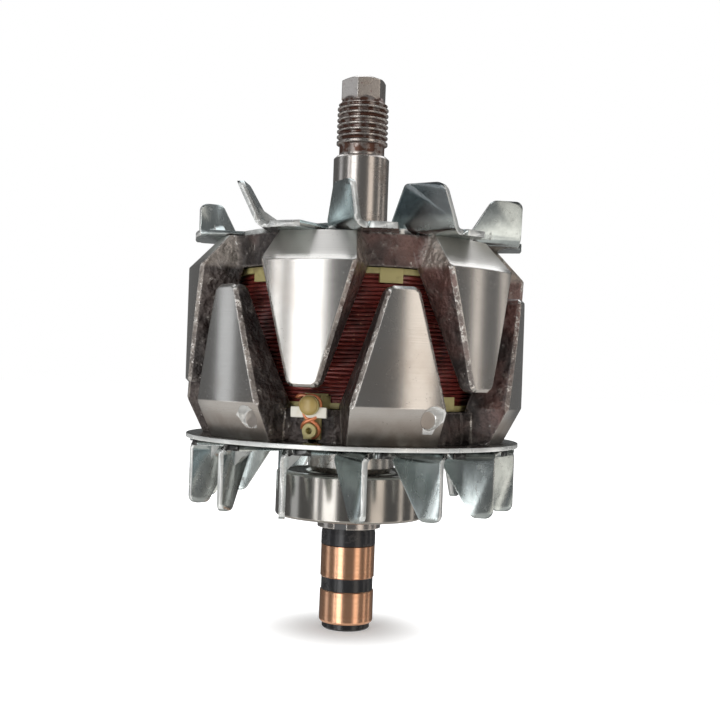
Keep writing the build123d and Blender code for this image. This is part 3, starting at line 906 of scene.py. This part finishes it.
# Near-black rear fan rim under the disc: painted shade standing for the dark gaps between the blades.
ZINC_RIM_SHADE = ZincPlate("painted shade under the disc", colour=(0.09, 0.09, 0.09), dent=0.2)
COPPER = RingCopper("slip ring copper")
WIRE = Enamel("enamelled winding wire")
LEAD_WIRE = Enamel("lead wire", colour=(0.78, 0.26, 0.11))
BLACK = Moulding("black slip ring moulding", dust=(0.07, 0.06, 0.055), roughness=0.16)
KHAKI = Moulding("khaki bobbin nylon", colour=(0.46, 0.40, 0.17), dust=(0.16, 0.10, 0.05), roughness=0.42)
GROUND = GroundSteel("ground bearing steel")
PALE_CLIP = Moulding("pale clip nylon", colour=(0.80, 0.77, 0.68), dust=(0.60, 0.48, 0.24), roughness=0.30)
AMBER = Moulding("amber button nylon", colour=(0.38, 0.28, 0.10), dust=(0.22, 0.13, 0.05), roughness=0.12)
BALL_STEEL = GroundSteel("polished ball steel", roughness=0.05)
CAGE = PressedSheet("pressed cage sheet")
RUBBER = SealRubber("seal rubber")
SLEEVE = Sleeving("varnished sleeving")


def deselect_all() -> None:
    """Deselect every object."""
    for item in bpy.context.view_layer.objects:
        item.select_set(False)


def activate(piece: bpy.types.Object) -> None:
    """Select one piece alone and make it the active one.

    Args:
        piece: the piece.
    """
    deselect_all()
    piece.select_set(True)
    bpy.context.view_layer.objects.active = piece


@contextmanager
def editing(piece: bpy.types.Object) -> Iterator[None]:
    """Hold a piece in edit mode, with all of it selected at the start.

    Args:
        piece: the piece.

    Returns:
        The context, after which the piece is back in object mode.
    """
    activate(piece)
    bpy.ops.object.mode_set(mode="EDIT")
    bpy.ops.mesh.select_all(action="SELECT")
    try:
        yield
    finally:
        bpy.ops.object.mode_set(mode="OBJECT")


def add_modifier(piece: bpy.types.Object, kind: str, **settings: Any) -> None:
    """Add a modifier to a piece and apply it.

    Args:
        piece: the piece.
        kind: the modifier's type.
        settings: its attributes.
    """
    activate(piece)
    modifier = piece.modifiers.new(kind.lower(), kind)
    for key, value in settings.items():
        setattr(modifier, key, value)
    bpy.ops.object.modifier_apply(modifier=modifier.name)


def smooth(piece: bpy.types.Object, angle: float = 32.0) -> None:
    """Shade a piece smooth, but for edges sharper than an angle in degrees."""
    activate(piece)
    bpy.ops.object.shade_smooth_by_angle(angle=radians(angle))


def dress(piece: bpy.types.Object, finish: Finish) -> None:
    """Give a piece one finish all over."""
    piece.data.materials.clear()
    piece.data.materials.append(finish.material())


def hand_over(piece: bpy.types.Object, body: Body, slot: str, *nodes: str) -> None:
    """Put a finished piece on the body that it rides on, and hide the frame nodes that it stands for.

    Args:
        piece: the finished piece.
        body: the body that it rides on.
        slot: not used.
        nodes: the frame nodes that it replaces.
    """
    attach(piece, body.value)
    if nodes:
        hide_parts(*nodes)
    log.info("%s: %d faces, on %s", piece.name, len(piece.data.polygons), body.value)


def merged_copy(node: bpy.types.Object, name: str) -> bpy.types.Object:
    """Copy a frame node's mesh into a new piece, merged.

    Args:
        node: the frame's object.
        name: the name of the new piece.

    Returns:
        The new piece, in place.
    """
    piece = bpy.data.objects.new(name, node.data.copy())
    bpy.context.collection.objects.link(piece)
    with editing(piece):
        bpy.ops.mesh.remove_doubles(threshold=1e-6)
        bpy.ops.mesh.normals_make_consistent(inside=False)
    return piece


def set_true_normals(
    piece: bpy.types.Object, least_level: float = 0.25, round_share: float = 0.995,
    bore_radius: float = 5.0 * MM, small_face: float = 1.2 * MM * MM,
) -> None:
    """Shade cylinders and cones round the shaft by their true normals, and large flat faces flat.

    The narrow faces between them, such as rounded edges, keep their smooth shading.

    Args:
        piece: the piece, already shaded smooth.
        least_level: how level a normal must be for its face to count as turned, 0 to 1.
        round_share: share of its level part that must look along the radius.
        bore_radius: radius within which no face counts as turned.
        small_face: area under which a flat face keeps its smooth shading.
    """
    mesh = piece.data
    normals = [Vector((0, 0, 0))] * len(mesh.loops)
    for face in mesh.polygons:
        outward = Vector((face.center.x, face.center.y, 0)).normalized()
        level = (1 - min(face.normal.z ** 2, 1.0)) ** 0.5
        radial = face.normal.dot(outward)
        turned = (
            level > least_level and abs(radial) > round_share * level and face.center.xy.length > bore_radius
        )
        if not turned and face.area < small_face:
            continue
        for loop in face.loop_indices:
            if turned:
                point = mesh.vertices[mesh.loops[loop].vertex_index].co
                away = Vector((point.x, point.y, 0)).normalized() * (level if radial > 0 else -level)
                normals[loop] = Vector((away.x, away.y, face.normal.z))
            else:
                normals[loop] = face.normal.copy()
    mesh.normals_split_custom_set(normals)


def azimuth_of(point: Vector) -> float:
    """Return the azimuth of a point in degrees."""
    return degrees(atan2(point.y, point.x))


@dataclass(frozen=True)
class SoftBox:
    """A rectangular light that faces the rotor.

    Attributes:
        name: its name.
        turn: degrees to the right of the camera, seen from the shaft.
        power: in watts.
        size: width and height of the box.
        colour: of the light.
        distance: from the shaft axis.
        height: over the floor.
    """

    name: str
    turn: float
    power: float
    size: Span
    colour: Colour = (1.0, 1.0, 1.0)
    distance: float = 0.80
    height: float = 0.20


WARM = (1.0, 0.92, 0.84)
SOFT_BOXES = (
    SoftBox("key", -30.5, 2.5, (0.25, 1.30), distance=0.70),
    SoftBox("key edge", -51.5, 0.6, (0.06, 1.30), distance=0.70),
    SoftBox("warm fill", 42.0, 1.2, (0.26, 1.30), (1.0, 0.90, 0.80), distance=0.72),
    SoftBox("left strip", -92.0, 0.55, (0.22, 1.20), (0.92, 0.96, 1.0)),
    SoftBox("right strip", 84.0, 0.36, (0.10, 1.20), WARM),
    SoftBox("right edge", 112.0, 0.30, (0.12, 1.20), WARM),
    SoftBox("top", 170.0, 4.2, (0.9, 0.9), (0.96, 0.98, 1.0), distance=0.35, height=0.80),
)


@dataclass
class Studio:
    """Camera, surroundings, floor and lights.

    Attributes:
        distance: from the camera to the shaft axis.
        height: of the camera over the floor.
        sensor: width of the camera's sensor in millimetres.
        focal: focal length in millimetres.
        roll: turn of the camera round its line of sight, in degrees.
        shift: offset of the picture, as a share of its width.
        aim_height: greatest height that a light is aimed at.
        room: grey of the room in reflections.
        room_strength: its strength.
        ground: colour of the lower part of the room.
        ground_strength: its strength.
        horizon: heights of a direction between which the room turns into the ground.
        floor_radius: of the floor.
        floor_grey: of the floor without light of its own.
        shade_grey: how brightly the floor glows under the rotor.
        shade_radii: radii between which that shade fades out.
    """

    distance: float = 0.303
    height: float = 0.0683
    sensor: float = 36.0
    focal: float = 56.05
    roll: float = 2.0
    shift: Span = (0.0083, 0.0194)
    aim_height: float = 0.20
    room: float = 0.84
    room_strength: float = 0.16
    ground: Colour = (0.95, 0.92, 0.88)
    ground_strength: float = 0.62
    horizon: Span = (-0.22, -0.42)
    floor_radius: float = 4.0
    floor_grey: float = 0.80
    shade_grey: float = 0.30
    shade_radii: Span = (6 * MM, 31 * MM)

    def around(self, turn: float, distance: float, height: float) -> Vector:
        """Return a point by its turn to the right of the camera, seen from the shaft, in degrees."""
        azimuth = radians(CAMERA_AZIMUTH + turn)
        return Vector((distance * cos(azimuth), distance * sin(azimuth), height))

    def add_camera(self) -> None:
        """Add the camera at the photograph's angle."""
        data = bpy.data.cameras.new("camera")
        data.lens = self.focal
        data.sensor_width = self.sensor
        data.shift_x, data.shift_y = self.shift
        data.clip_start = 0.01
        camera = bpy.data.objects.new("camera", data)
        bpy.context.collection.objects.link(camera)
        camera.location = self.around(0.0, self.distance, self.height)
        level = Vector((0, 0, self.height)) - camera.location
        turn = level.to_track_quat("-Z", "Y").to_matrix().to_4x4()
        camera.matrix_world = Matrix.Translation(camera.location) @ turn @ Matrix.Rotation(
            radians(self.roll), 4, "Z"
        )
        bpy.context.scene.camera = camera

    def add_light(self, box: SoftBox) -> None:
        """Add a soft box.

        Args:
            box: what it is like and where it stands.
        """
        data = bpy.data.lights.new(box.name, "AREA")
        data.shape = "RECTANGLE"
        data.size, data.size_y = box.size
        data.energy = box.power
        data.color = box.colour
        light = bpy.data.objects.new(box.name, data)
        bpy.context.collection.objects.link(light)
        light.location = self.around(box.turn, box.distance, box.height)
        aim = Vector((0, 0, min(box.height, self.aim_height))) - light.location
        light.rotation_euler = aim.to_track_quat("-Z", "Y").to_euler()
        light.visible_camera = False

    def add_world(self) -> None:
        """Add the pale surroundings: white to the eye, softer grey in reflections."""
        world = bpy.data.worlds.new("studio")
        world.use_nodes = True
        nodes, links = world.node_tree.nodes, world.node_tree.links
        backdrop = nodes["Background"]
        backdrop.inputs[0].default_value = (1.0, 1.0, 1.0, 1.0)
        backdrop.inputs[1].default_value = 1.0
        room = nodes.new("ShaderNodeBackground")
        room.inputs[0].default_value = (self.room, self.room, self.room, 1.0)
        room.inputs[1].default_value = self.room_strength
        below = nodes.new("ShaderNodeBackground")
        below.inputs[0].default_value = (*self.ground, 1.0)
        below.inputs[1].default_value = self.ground_strength
        way = nodes.new("ShaderNodeTexCoord")
        parts = nodes.new("ShaderNodeSeparateXYZ")
        down = nodes.new("ShaderNodeMapRange")
        down.inputs["From Min"].default_value, down.inputs["From Max"].default_value = self.horizon
        surround = nodes.new("ShaderNodeMixShader")
        links.new(way.outputs["Generated"], parts.inputs[0])
        links.new(parts.outputs["Z"], down.inputs["Value"])
        links.new(down.outputs[0], surround.inputs[0])
        links.new(room.outputs[0], surround.inputs[1])
        links.new(below.outputs[0], surround.inputs[2])
        path = nodes.new("ShaderNodeLightPath")
        blend = nodes.new("ShaderNodeMixShader")
        links.new(path.outputs["Is Camera Ray"], blend.inputs[0])
        links.new(surround.outputs[0], blend.inputs[1])
        links.new(backdrop.outputs[0], blend.inputs[2])
        links.new(blend.outputs[0], nodes["World Output"].inputs[0])
        bpy.context.scene.world = world

    def add_floor(self) -> None:
        """Add the pale floor, which glows white but for a soft shade under the rotor.

        From below it is clear, and it is left out of reflections.
        """
        deselect_all()
        bpy.ops.mesh.primitive_circle_add(
            vertices=96, radius=self.floor_radius, fill_type="NGON", location=(0, 0, 0)
        )
        floor = bpy.context.active_object
        floor.name = "floor"
        shader = Shader("pale floor")
        near, far = (self.shade_grey,) * 3, (1.0, 1.0, 1.0)
        floor.data.materials.append(shader.finish(
            Base_Color=(self.floor_grey,) * 3, Roughness=0.9, Specular_IOR_Level=0.0,
            Emission_Color=shader.mix(shader.radius().between(*self.shade_radii), near, far),
            Emission_Strength=1.0,
        ))
        clear = shader.node("ShaderNodeBsdfTransparent")
        side = shader.node("ShaderNodeNewGeometry")
        blend = shader.node("ShaderNodeMixShader")
        links = shader.tree.links
        links.new(side.outputs["Backfacing"], blend.inputs[0])
        links.new(shader.surface.outputs[0], blend.inputs[1])
        links.new(clear.outputs[0], blend.inputs[2])
        links.new(blend.outputs[0], shader.tree.nodes["Material Output"].inputs[0])
        floor.visible_glossy = False

    def build(self) -> None:
        """Set up the studio."""
        scene = bpy.context.scene
        scene.view_settings.view_transform = "Standard"
        self.add_camera()
        self.add_world()
        self.add_floor()
        for box in SOFT_BOXES:
            self.add_light(box)
        log.info("studio ready")


@dataclass
class Poles:
    """The two claw pole halves.

    Attributes:
        nodes: the frame's pole nodes.
        outer_radius: of the turned faces.
        pits: azimuth and height of each drilled balance pit.
        pit_radius: of a pit and its rim.
        claw_root: distance along a pit's axis beyond which a face can be in it.
        own_face: how far the claw's own face looks along that axis, 0 to 1.
        face_share: share of the outer radius beyond which a face is the round one.
        shoulder_share: share beyond which it is a cone or an edge.
        round_lean: how far a turned face must look away from the axis, 0 to 1.
        edge_lean: how far an edge face with a painted highlight must.
        edge_slope: how far such an edge face may look up or down.
    """

    nodes: tuple[str, ...] = ("front_pole", "rear_pole")
    outer_radius: float = 45.0 * MM
    pits: tuple[Span, ...] = ((-140.0, 56.7 * MM), (-79.0, 57.9 * MM))
    pit_radius: float = 3.95 * MM
    claw_root: float = 30.0 * MM
    own_face: float = 0.999
    face_share: float = 0.97
    shoulder_share: float = 0.80
    round_lean: float = 0.93
    edge_lean: float = 0.45
    edge_slope: float = 0.35

    def build(self, frame: dict[str, Any]) -> None:
        """Copy both pole halves and dress their faces.

        Args:
            frame: the loaded frame.
        """
        for name in self.nodes:
            piece = merged_copy(frame["nodes"][name], f"{name}_worn")
            dress(piece, POLE_FLANK)
            for finish in (POLE_FACE, POLE_EDGE_HIGHLIGHT, DRILLED_HIGHLIT):
                piece.data.materials.append(finish.material())
            for face in piece.data.polygons:
                corners = [piece.data.vertices[index].co for index in face.vertices]
                face.material_index = self.finish_of(face, corners)
            smooth(piece, 50.0)
            set_true_normals(piece)
            hand_over(piece, Body.ROTOR, "forged_steel", name)

    def in_pit(self, face: bpy.types.MeshPolygon, corners: Sequence[Vector]) -> bool:
        """Tell whether a face lies inside a balance pit.

        Args:
            face: the face.
            corners: the places of its corners.

        Returns:
            Whether all of it is inside one pit, and it isn't the claw's own face.
        """
        for azimuth, height in self.pits:
            axis = Vector((cos(radians(azimuth)), sin(radians(azimuth)), 0))
            offsets = [corner - Vector((0, 0, height)) for corner in corners]
            inside = all((offset - axis * offset.dot(axis)).length < self.pit_radius for offset in offsets)
            if inside and face.center.dot(axis) > self.claw_root and face.normal.dot(axis) < self.own_face:
                return True
        return False

    def finish_of(self, face: bpy.types.MeshPolygon, corners: Sequence[Vector]) -> PoleFace:
        """Choose the material slot of a face by its place and how it looks away from the axis.

        Args:
            face: the face.
            corners: the places of its corners.

        Returns:
            The slot.
        """
        if self.in_pit(face, corners):
            return PoleFace.DRILLED_HIGHLIT
        lean = face.normal.dot(Vector((face.center.x, face.center.y, 0)).normalized())
        radius = face.center.xy.length
        if radius > self.face_share * self.outer_radius and lean > self.round_lean:
            return PoleFace.TURNED
        if radius > self.shoulder_share * self.outer_radius and lean > self.edge_lean:
            is_edge = lean < self.round_lean and abs(face.normal.z) < self.edge_slope
            return PoleFace.EDGE if is_edge else PoleFace.TURNED
        return PoleFace.FLANK


@dataclass
class Fans:
    """The pressed sheet fans and the plain disc over the rear one.

    Attributes:
        nodes: the frame's fan nodes.
        sweep: turn of the blades from the radial direction in degrees, between those of both fans.
        hub_radius: radius beyond which there are blades.
        rim_height: height over which the rear fan's own rim lies, under the disc.
        sheared: how far a sheared edge of a blade looks along the blade, 0 to 1.
        rim_lean: how far the rim looks away from the axis, 0 to 1, where the disc covers it.
        open_rim_lean: the same for the open fan.
        open_rim_slope: how far the open fan's rim may look up or down.
        disc_edge_slope: the same for the disc's rim with its rounded edges.
        disc_bevel: width of the disc's rounded edge.
    """

    nodes: tuple[str, ...] = ("front_fan", "rear_fan")
    sweep: float = 26.5
    hub_radius: float = 28.0 * MM
    rim_height: float = 48.7 * MM
    sheared: float = 0.72
    rim_lean: float = 0.8
    open_rim_lean: float = 0.6
    open_rim_slope: float = 0.1
    disc_edge_slope: float = 0.9
    disc_bevel: float = 0.25 * MM

    def build(self, frame: dict[str, Any]) -> None:
        """Copy the fans and dress sheet and edges apart.

        Args:
            frame: the loaded frame.
        """
        for name in self.nodes:
            piece = merged_copy(frame["nodes"][name], f"{name}_sheet")
            dress(piece, ZINC)
            piece.data.materials.append(ZINC_EDGE_HIGHLIGHT.material())
            piece.data.materials.append(ZINC_RIM_SHADE.material())
            for face in piece.data.polygons:
                face.material_index = self.finish_of(face, name == "rear_fan")
            smooth(piece, 40.0)
            add_modifier(piece, "WEIGHTED_NORMAL", weight=100, keep_sharp=True)
            hand_over(piece, Body.ROTOR, "zinc_sheet", name)
        self.build_disc(frame)

    def build_disc(self, frame: dict[str, Any]) -> None:
        """Copy the plain disc, with painted shade on its faces and a painted highlight on its rim.

        Args:
            frame: the loaded frame.
        """
        disc = merged_copy(frame["nodes"]["rear_fan_disc"], "rear_fan_disc_sheet")
        add_modifier(
            disc, "BEVEL", width=self.disc_bevel, segments=2, limit_method="ANGLE", angle_limit=radians(50)
        )
        dress(disc, ZINC_PAINTED_SHADE)
        disc.data.materials.append(ZINC_EDGE_HIGHLIGHT.material())
        for face in disc.data.polygons:
            on_rim = abs(face.normal.z) < self.disc_edge_slope
            face.material_index = SheetFace.EDGE if on_rim else SheetFace.SHEET
        smooth(disc, 40.0)
        hand_over(disc, Body.ROTOR, "zinc_sheet", "rear_fan_disc")

    def finish_of(self, face: bpy.types.MeshPolygon, has_disc: bool) -> SheetFace:
        """Choose the material slot of a face.

        Args:
            face: the face.
            has_disc: whether the disc covers this fan's rim.

        Returns:
            The slot.
        """
        lean = face.normal.dot(Vector((face.center.x, face.center.y, 0)).normalized())
        # Under the disc the rear fan's rim gets painted shade; blade edges and the open rim get a painted
        # highlight.
        if has_disc and face.center.z > self.rim_height:
            return SheetFace.RIM if abs(lean) > self.rim_lean else SheetFace.SHEET
        if face.center.xy.length <= self.hub_radius:
            return SheetFace.SHEET
        azimuth = radians(azimuth_of(face.center) + self.sweep)
        on_blade = abs(face.normal.dot(Vector((cos(azimuth), sin(azimuth), 0)))) > self.sheared
        on_rim = not has_disc and abs(face.normal.z) < self.open_rim_slope and lean > self.open_rim_lean
        return SheetFace.EDGE if on_blade or on_rim else SheetFace.SHEET


@dataclass
class Winding:
    """The field winding: one long helix of enamelled wire between the bobbin flanges.

    Attributes:
        radius: of the outer layer, to the middle of the wire.
        wire: radius of the wire.
        bottom: height where the winding starts.
        top: height where it ends.
        steps: steps of one turn.
        wander: how far the wire strays from its radius.
        waves: how fast it strays, in radians per degree round the shaft and per metre up it.
        cover: how far the layer behind lies under the middle of the wire.
        depth: thickness of that layer.
    """

    radius: float = 31.7 * MM
    wire: float = 0.5 * MM
    bottom: float = 61.1 * MM
    top: float = 92.8 * MM
    steps: int = 96
    wander: float = 0.12 * MM
    waves: Span = (0.21, 5300.0)
    cover: float = 0.1 * MM
    depth: float = 10.5 * MM

    def build(self) -> None:
        """Wind the outer layer and the backing behind it."""
        turns = int((self.top - self.bottom) / (2 * self.wire)) - 1
        pitch = (self.top - self.bottom - 2 * self.wire) / turns
        deselect_all()
        bpy.ops.mesh.primitive_circle_add(
            vertices=8, radius=self.wire, location=(self.radius, 0, self.bottom + self.wire),
            rotation=(pi / 2, 0, 0),
        )
        coil = bpy.context.active_object
        coil.name = "winding"
        bpy.ops.object.transform_apply()
        add_modifier(
            coil, "SCREW", axis="Z", steps=self.steps, render_steps=self.steps, screw_offset=pitch,
            iterations=turns, use_merge_vertices=False,
        )
        around, up = self.waves
        for vertex in coil.data.vertices:
            stray = self.wander * sin(azimuth_of(vertex.co) * around + vertex.co.z * up)
            vertex.co.xy *= 1 + stray / self.radius
        dress(coil, WIRE)
        smooth(coil, 60.0)
        hand_over(coil, Body.ROTOR, "enamelled_copper", "field_coil")
        self.build_layer()

    def build_layer(self) -> None:
        """Add the layer of wire under the helix, so that nothing shows between its turns."""
        deselect_all()
        middle = (self.bottom + self.top) / 2
        bpy.ops.mesh.primitive_cylinder_add(
            vertices=self.steps, radius=self.radius - self.cover, depth=self.top - self.bottom,
            location=(0, 0, middle), end_fill_type="NOTHING",
        )
        layer = bpy.context.active_object
        layer.name = "winding_inner_layer"
        bpy.ops.object.transform_apply()
        with editing(layer):
            bpy.ops.mesh.subdivide(number_cuts=3)
        add_modifier(layer, "SOLIDIFY", thickness=self.depth, offset=-1.0)
        dress(layer, WIRE)
        smooth(layer, 40.0)
        hand_over(layer, Body.ROTOR, "enamelled_copper", "field_coil")


@dataclass
class Terminals:
    """What holds the two ends of the winding: a button, a pale clip and the wrapped wire.

    Attributes:
        azimuths: azimuth and frame node of each end of the winding.
        level: height of the plane that heights here are measured from.
        face: radius of the arm's outer face.
        reach_radius: radius beyond which the bobbin is an arm.
        half_width: half of the arm's width, with some room.
        flank: distance from the arm's middle beyond which a point is on its side.
        arm_foot: height under which the arm's lower end lies.
        arm_waist: share of the arm's width that is left.
        post: height and radius of the post, with some room.
        post_drop: how far the post is set lower.
        post_height: its height once it is set lower.
        eyelet: height and radius of the eyelet, with some room.
        eyelet_drop: how far the eyelet is set lower.
        bevel: width of the bobbin's rounded edges.
        button: radius of the button on the post.
        button_base: radius from the shaft to the button's flat side.
        button_rise: height of its dome.
        clip: width, height and depth of the clip.
        clip_side: its offset round the shaft.
        clip_height: its height.
        clip_stand: how far its middle stands off the arm.
        clip_bevel: width of its rounded edges.
        wire: radius of the wire.
        wrap: radius of the first turn round the post, in millimetres.
        wrap_growth: how much wider the last turn is, in millimetres.
        wrap_stand: distance from the shaft at which the turns start, in millimetres.
        wrap_angles: first and last angle of the turns and the step between points, in degrees.
    """

    azimuths: tuple[tuple[float, str], ...] = ((-120.0, "coil_lead_start"), (60.0, "coil_lead_end"))
    level: float = 59.5 * MM
    face: float = 35.85 * MM
    reach_radius: float = 34.2 * MM
    half_width: float = 3.6 * MM
    flank: float = 3.2 * MM
    arm_foot: float = -5.0 * MM
    arm_waist: float = 0.62
    post: Span = (2.6 * MM, 2.5 * MM)
    post_drop: float = 1.6 * MM
    post_height: float = 1.0 * MM
    eyelet: Span = (-3.1 * MM, 1.8 * MM)
    eyelet_drop: float = 2.0 * MM
    bevel: float = 0.2 * MM
    button: float = 2.3 * MM
    button_base: float = 39.0 * MM
    button_rise: float = 1.1 * MM
    clip: tuple[float, float, float] = (9.0 * MM, 2.6 * MM, 0.8 * MM)
    clip_side: float = -0.4 * MM
    clip_height: float = -0.7 * MM
    clip_stand: float = 1.55 * MM
    clip_bevel: float = 0.22 * MM
    wire: float = 0.42 * MM
    wrap: float = 2.25
    wrap_growth: float = 0.5
    wrap_stand: float = 36.5
    wrap_angles: tuple[int, int, int] = (-20, 660, 40)

    def place(self, azimuth: float, side: float, height: float, radius: float) -> Vector:
        """Return a point by its place on the plane that faces outward at an azimuth.

        Args:
            azimuth: of the plane, in degrees.
            side: distance round the shaft.
            height: over the level.
            radius: distance from the shaft axis.

        Returns:
            The point.
        """
        turn = radians(azimuth)
        out, along = Vector((cos(turn), sin(turn), 0)), Vector((-sin(turn), cos(turn), 0))
        return out * radius + along * side + Vector((0, 0, self.level + height))

    def build(self, frame: dict[str, Any]) -> None:
        """Build the bobbin with moulded edges and both terminals.

        Args:
            frame: the loaded frame.
        """
        bobbin = merged_copy(frame["nodes"]["bobbin"], "bobbin_moulded")
        for azimuth, _ in self.azimuths:
            self.settle_arm(bobbin, azimuth)
        add_modifier(
            bobbin, "BEVEL", width=self.bevel, segments=2, limit_method="ANGLE", angle_limit=radians(40),
            use_clamp_overlap=True,
        )
        dress(bobbin, KHAKI)
        smooth(bobbin, 40.0)
        hand_over(bobbin, Body.ROTOR, "bobbin_nylon", "bobbin")
        for azimuth, node in self.azimuths:
            side = node.rsplit("_", 1)[1]
            self.build_button(azimuth, side)
            self.build_clip(azimuth, side)
            self.build_wire(azimuth, side, node)

    def settle_arm(self, bobbin: bpy.types.Object, azimuth: float) -> None:
        """Set the post and the eyelet of an arm lower, and give the arm a waist.

        Args:
            bobbin: the copy of the bobbin.
            azimuth: of the arm, in degrees.
        """
        out = Vector((cos(radians(azimuth)), sin(radians(azimuth)), 0))
        along = Vector((-out.y, out.x, 0))
        skin = 0.05 * MM
        for vertex in bobbin.data.vertices:
            point = vertex.co
            radius, side, height = point.dot(out), point.dot(along), point.z - self.level
            if radius < self.reach_radius or abs(side) > self.half_width:
                continue
            in_arm, at_foot = radius < self.face + skin, height < self.arm_foot
            from_post = Vector((side, height - self.post[0])).length
            from_eyelet = Vector((side, height - self.eyelet[0])).length
            if in_arm and (at_foot or abs(side) > self.flank):
                vertex.co = point - along * side * (1 - self.arm_waist)
                if at_foot:
                    vertex.co.z -= self.eyelet_drop
            elif height > skin and from_post < self.post[1]:
                vertex.co.z -= self.post_drop
            elif height < 0 and from_eyelet < self.eyelet[1]:
                vertex.co.z -= self.eyelet_drop

    def turn_out(self, piece: bpy.types.Object, azimuth: float) -> None:
        """Turn a piece made facing -Y so that it faces outward, and apply its place.

        Args:
            piece: the piece.
            azimuth: of the direction that it then faces, in degrees.
        """
        piece.rotation_euler = (0, 0, radians(azimuth + 90))
        activate(piece)
        bpy.ops.object.transform_apply(location=True, rotation=True, scale=True)

    def build_button(self, azimuth: float, side: str) -> None:
        """Add the domed button that closes the post.

        Args:
            azimuth: of the terminal, in degrees.
            side: which end of the winding it is.
        """
        deselect_all()
        bpy.ops.mesh.primitive_uv_sphere_add(segments=32, ring_count=16, radius=self.button)
        button = bpy.context.active_object
        button.name = f"lead_button_{side}"
        with editing(button):
            bpy.ops.mesh.bisect(plane_co=(0, 0, 0), plane_no=(0, 1, 0), clear_outer=True, use_fill=True)
        button.scale = (1, self.button_rise / self.button, 1)
        button.location = self.place(azimuth, 0, self.post_height, self.button_base)
        self.turn_out(button, azimuth)
        dress(button, AMBER)
        smooth(button, 50.0)
        hand_over(button, Body.ROTOR, "bobbin_nylon")

    def build_clip(self, azimuth: float, side: str) -> None:
        """Add the pale clip that is slid over the post, behind the button.

        Args:
            azimuth: of the terminal, in degrees.
            side: which end of the winding it is.
        """
        deselect_all()
        bpy.ops.mesh.primitive_cube_add(size=1.0)
        clip = bpy.context.active_object
        clip.name = f"lead_clip_{side}"
        width, height, depth = self.clip
        clip.scale = (width, depth, height)
        clip.location = self.place(azimuth, self.clip_side, self.clip_height, self.face + self.clip_stand)
        self.turn_out(clip, azimuth)
        with editing(clip):
            bpy.ops.mesh.bevel(offset=self.clip_bevel, segments=3, affect="EDGES")
        dress(clip, PALE_CLIP)
        smooth(clip, 50.0)
        hand_over(clip, Body.ROTOR, "bobbin_nylon")

    def build_wire(self, azimuth: float, side: str, node: str) -> None:
        """Add the wire end: up beside the arm, twice round the post, and down into the pole's slot.

        Points give the distance round the shaft, the height and the radius, in millimetres.

        Args:
            azimuth: of the terminal, in degrees.
            side: which end of the winding it is.
            node: the frame node that it replaces.
        """
        middle = self.post_height / MM
        first, last, step = self.wrap_angles
        route = [(-4.0, 2.8, 32.2), (-4.0, 2.8, 35.0), (-3.9, 2.9, 36.4), (-2.6, 3.4, 36.6)]
        turns = []
        for angle in range(first, last + 1, step):
            reach = self.wrap + self.wrap_growth * angle / last
            turn = radians(angle)
            stand = self.wrap_stand + angle / last
            turns.append((reach * sin(turn), middle + reach * cos(turn), stand))
        down = [
            (-1.6, -2.0, 37.5), (0.9, -2.9, 37.6), (2.0, -3.9, 37.2), (2.3, -5.2, 36.8), (1.4, -6.6, 36.5),
            (0.0, -6.9, 35.6), (0.0, -6.75, 34.0), (0.0, -6.75, 20.0), (0.0, -6.75, 5.3),
        ]
        tail = [
            (2.0, -0.6, 37.0), (1.8, -2.0, 37.5), (-0.8, -2.8, 38.0), (-2.0, -3.6, 37.4), (-2.2, -4.6, 36.6),
        ]
        data = bpy.data.curves.new(f"lead_wire_{side}", "CURVE")
        data.dimensions = "3D"
        data.bevel_depth = self.wire
        data.bevel_resolution = 3
        data.resolution_u = 5
        data.use_fill_caps = True
        for points in (route + turns + down, tail):
            spline = data.splines.new("NURBS")
            spline.points.add(len(points) - 1)
            for slot, (along, height, radius) in zip(spline.points, points):
                slot.co = (*self.place(azimuth, along * MM, height * MM, radius * MM), 1.0)
            spline.order_u = 3
            spline.use_endpoint_u = True
        wire = bpy.data.objects.new(f"lead_wire_{side}", data)
        bpy.context.collection.objects.link(wire)
        activate(wire)
        bpy.ops.object.convert(target="MESH")
        wire = bpy.context.active_object
        dress(wire, LEAD_WIRE)
        smooth(wire, 60.0)
        hand_over(wire, Body.ROTOR, "enamelled_copper", node)


@dataclass
class CarriedOver:
    """Frame nodes whose solids have the right shape.

    Attributes:
        finishes: for each body, its nodes and the finish that each one gets.
    """

    finishes: dict[Body, dict[str, Finish]] = field(default_factory=lambda: {
        Body.ROTOR: {
            "shaft": SHAFT_STEEL, "rear_spacer": SPACER_STEEL, "pole_core": SPACER_STEEL,
            "lead_sleeve_start": SLEEVE, "lead_sleeve_end": SLEEVE, "slip_ring_body": BLACK,
            "outer_slip_ring": COPPER, "inner_slip_ring": COPPER,
            "slip_ring_bar_outer": COPPER, "slip_ring_bar_inner": COPPER, "bearing_inner_ring": GROUND,
        },
        Body.BEARING_OUTER: {
            "bearing_outer_ring": GROUND, "bearing_seal_front": RUBBER, "bearing_seal_rear": RUBBER,
        },
        Body.BALL_TRAIN: {
            "bearing_balls": BALL_STEEL, "bearing_cage_front": CAGE, "bearing_cage_rear": CAGE,
            "bearing_cage_rivets": CAGE,
        },
    })

    def build(self, frame: dict[str, Any]) -> None:
        """Give each of these nodes its finish.

        Args:
            frame: the loaded frame.
        """
        for body, nodes in self.finishes.items():
            for name, finish in nodes.items():
                dress(frame["nodes"][name], finish)
            log.info("%s: %d frame nodes dressed", body.value, len(nodes))


def main() -> None:
    """Build the scene."""
    logging.basicConfig(level=logging.INFO, format="%(message)s")
    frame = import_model()
    Studio().build()
    CarriedOver().build(frame)
    Poles().build(frame)
    Fans().build(frame)
    Winding().build()
    Terminals().build(frame)


if __name__ == "__main__":
    main()
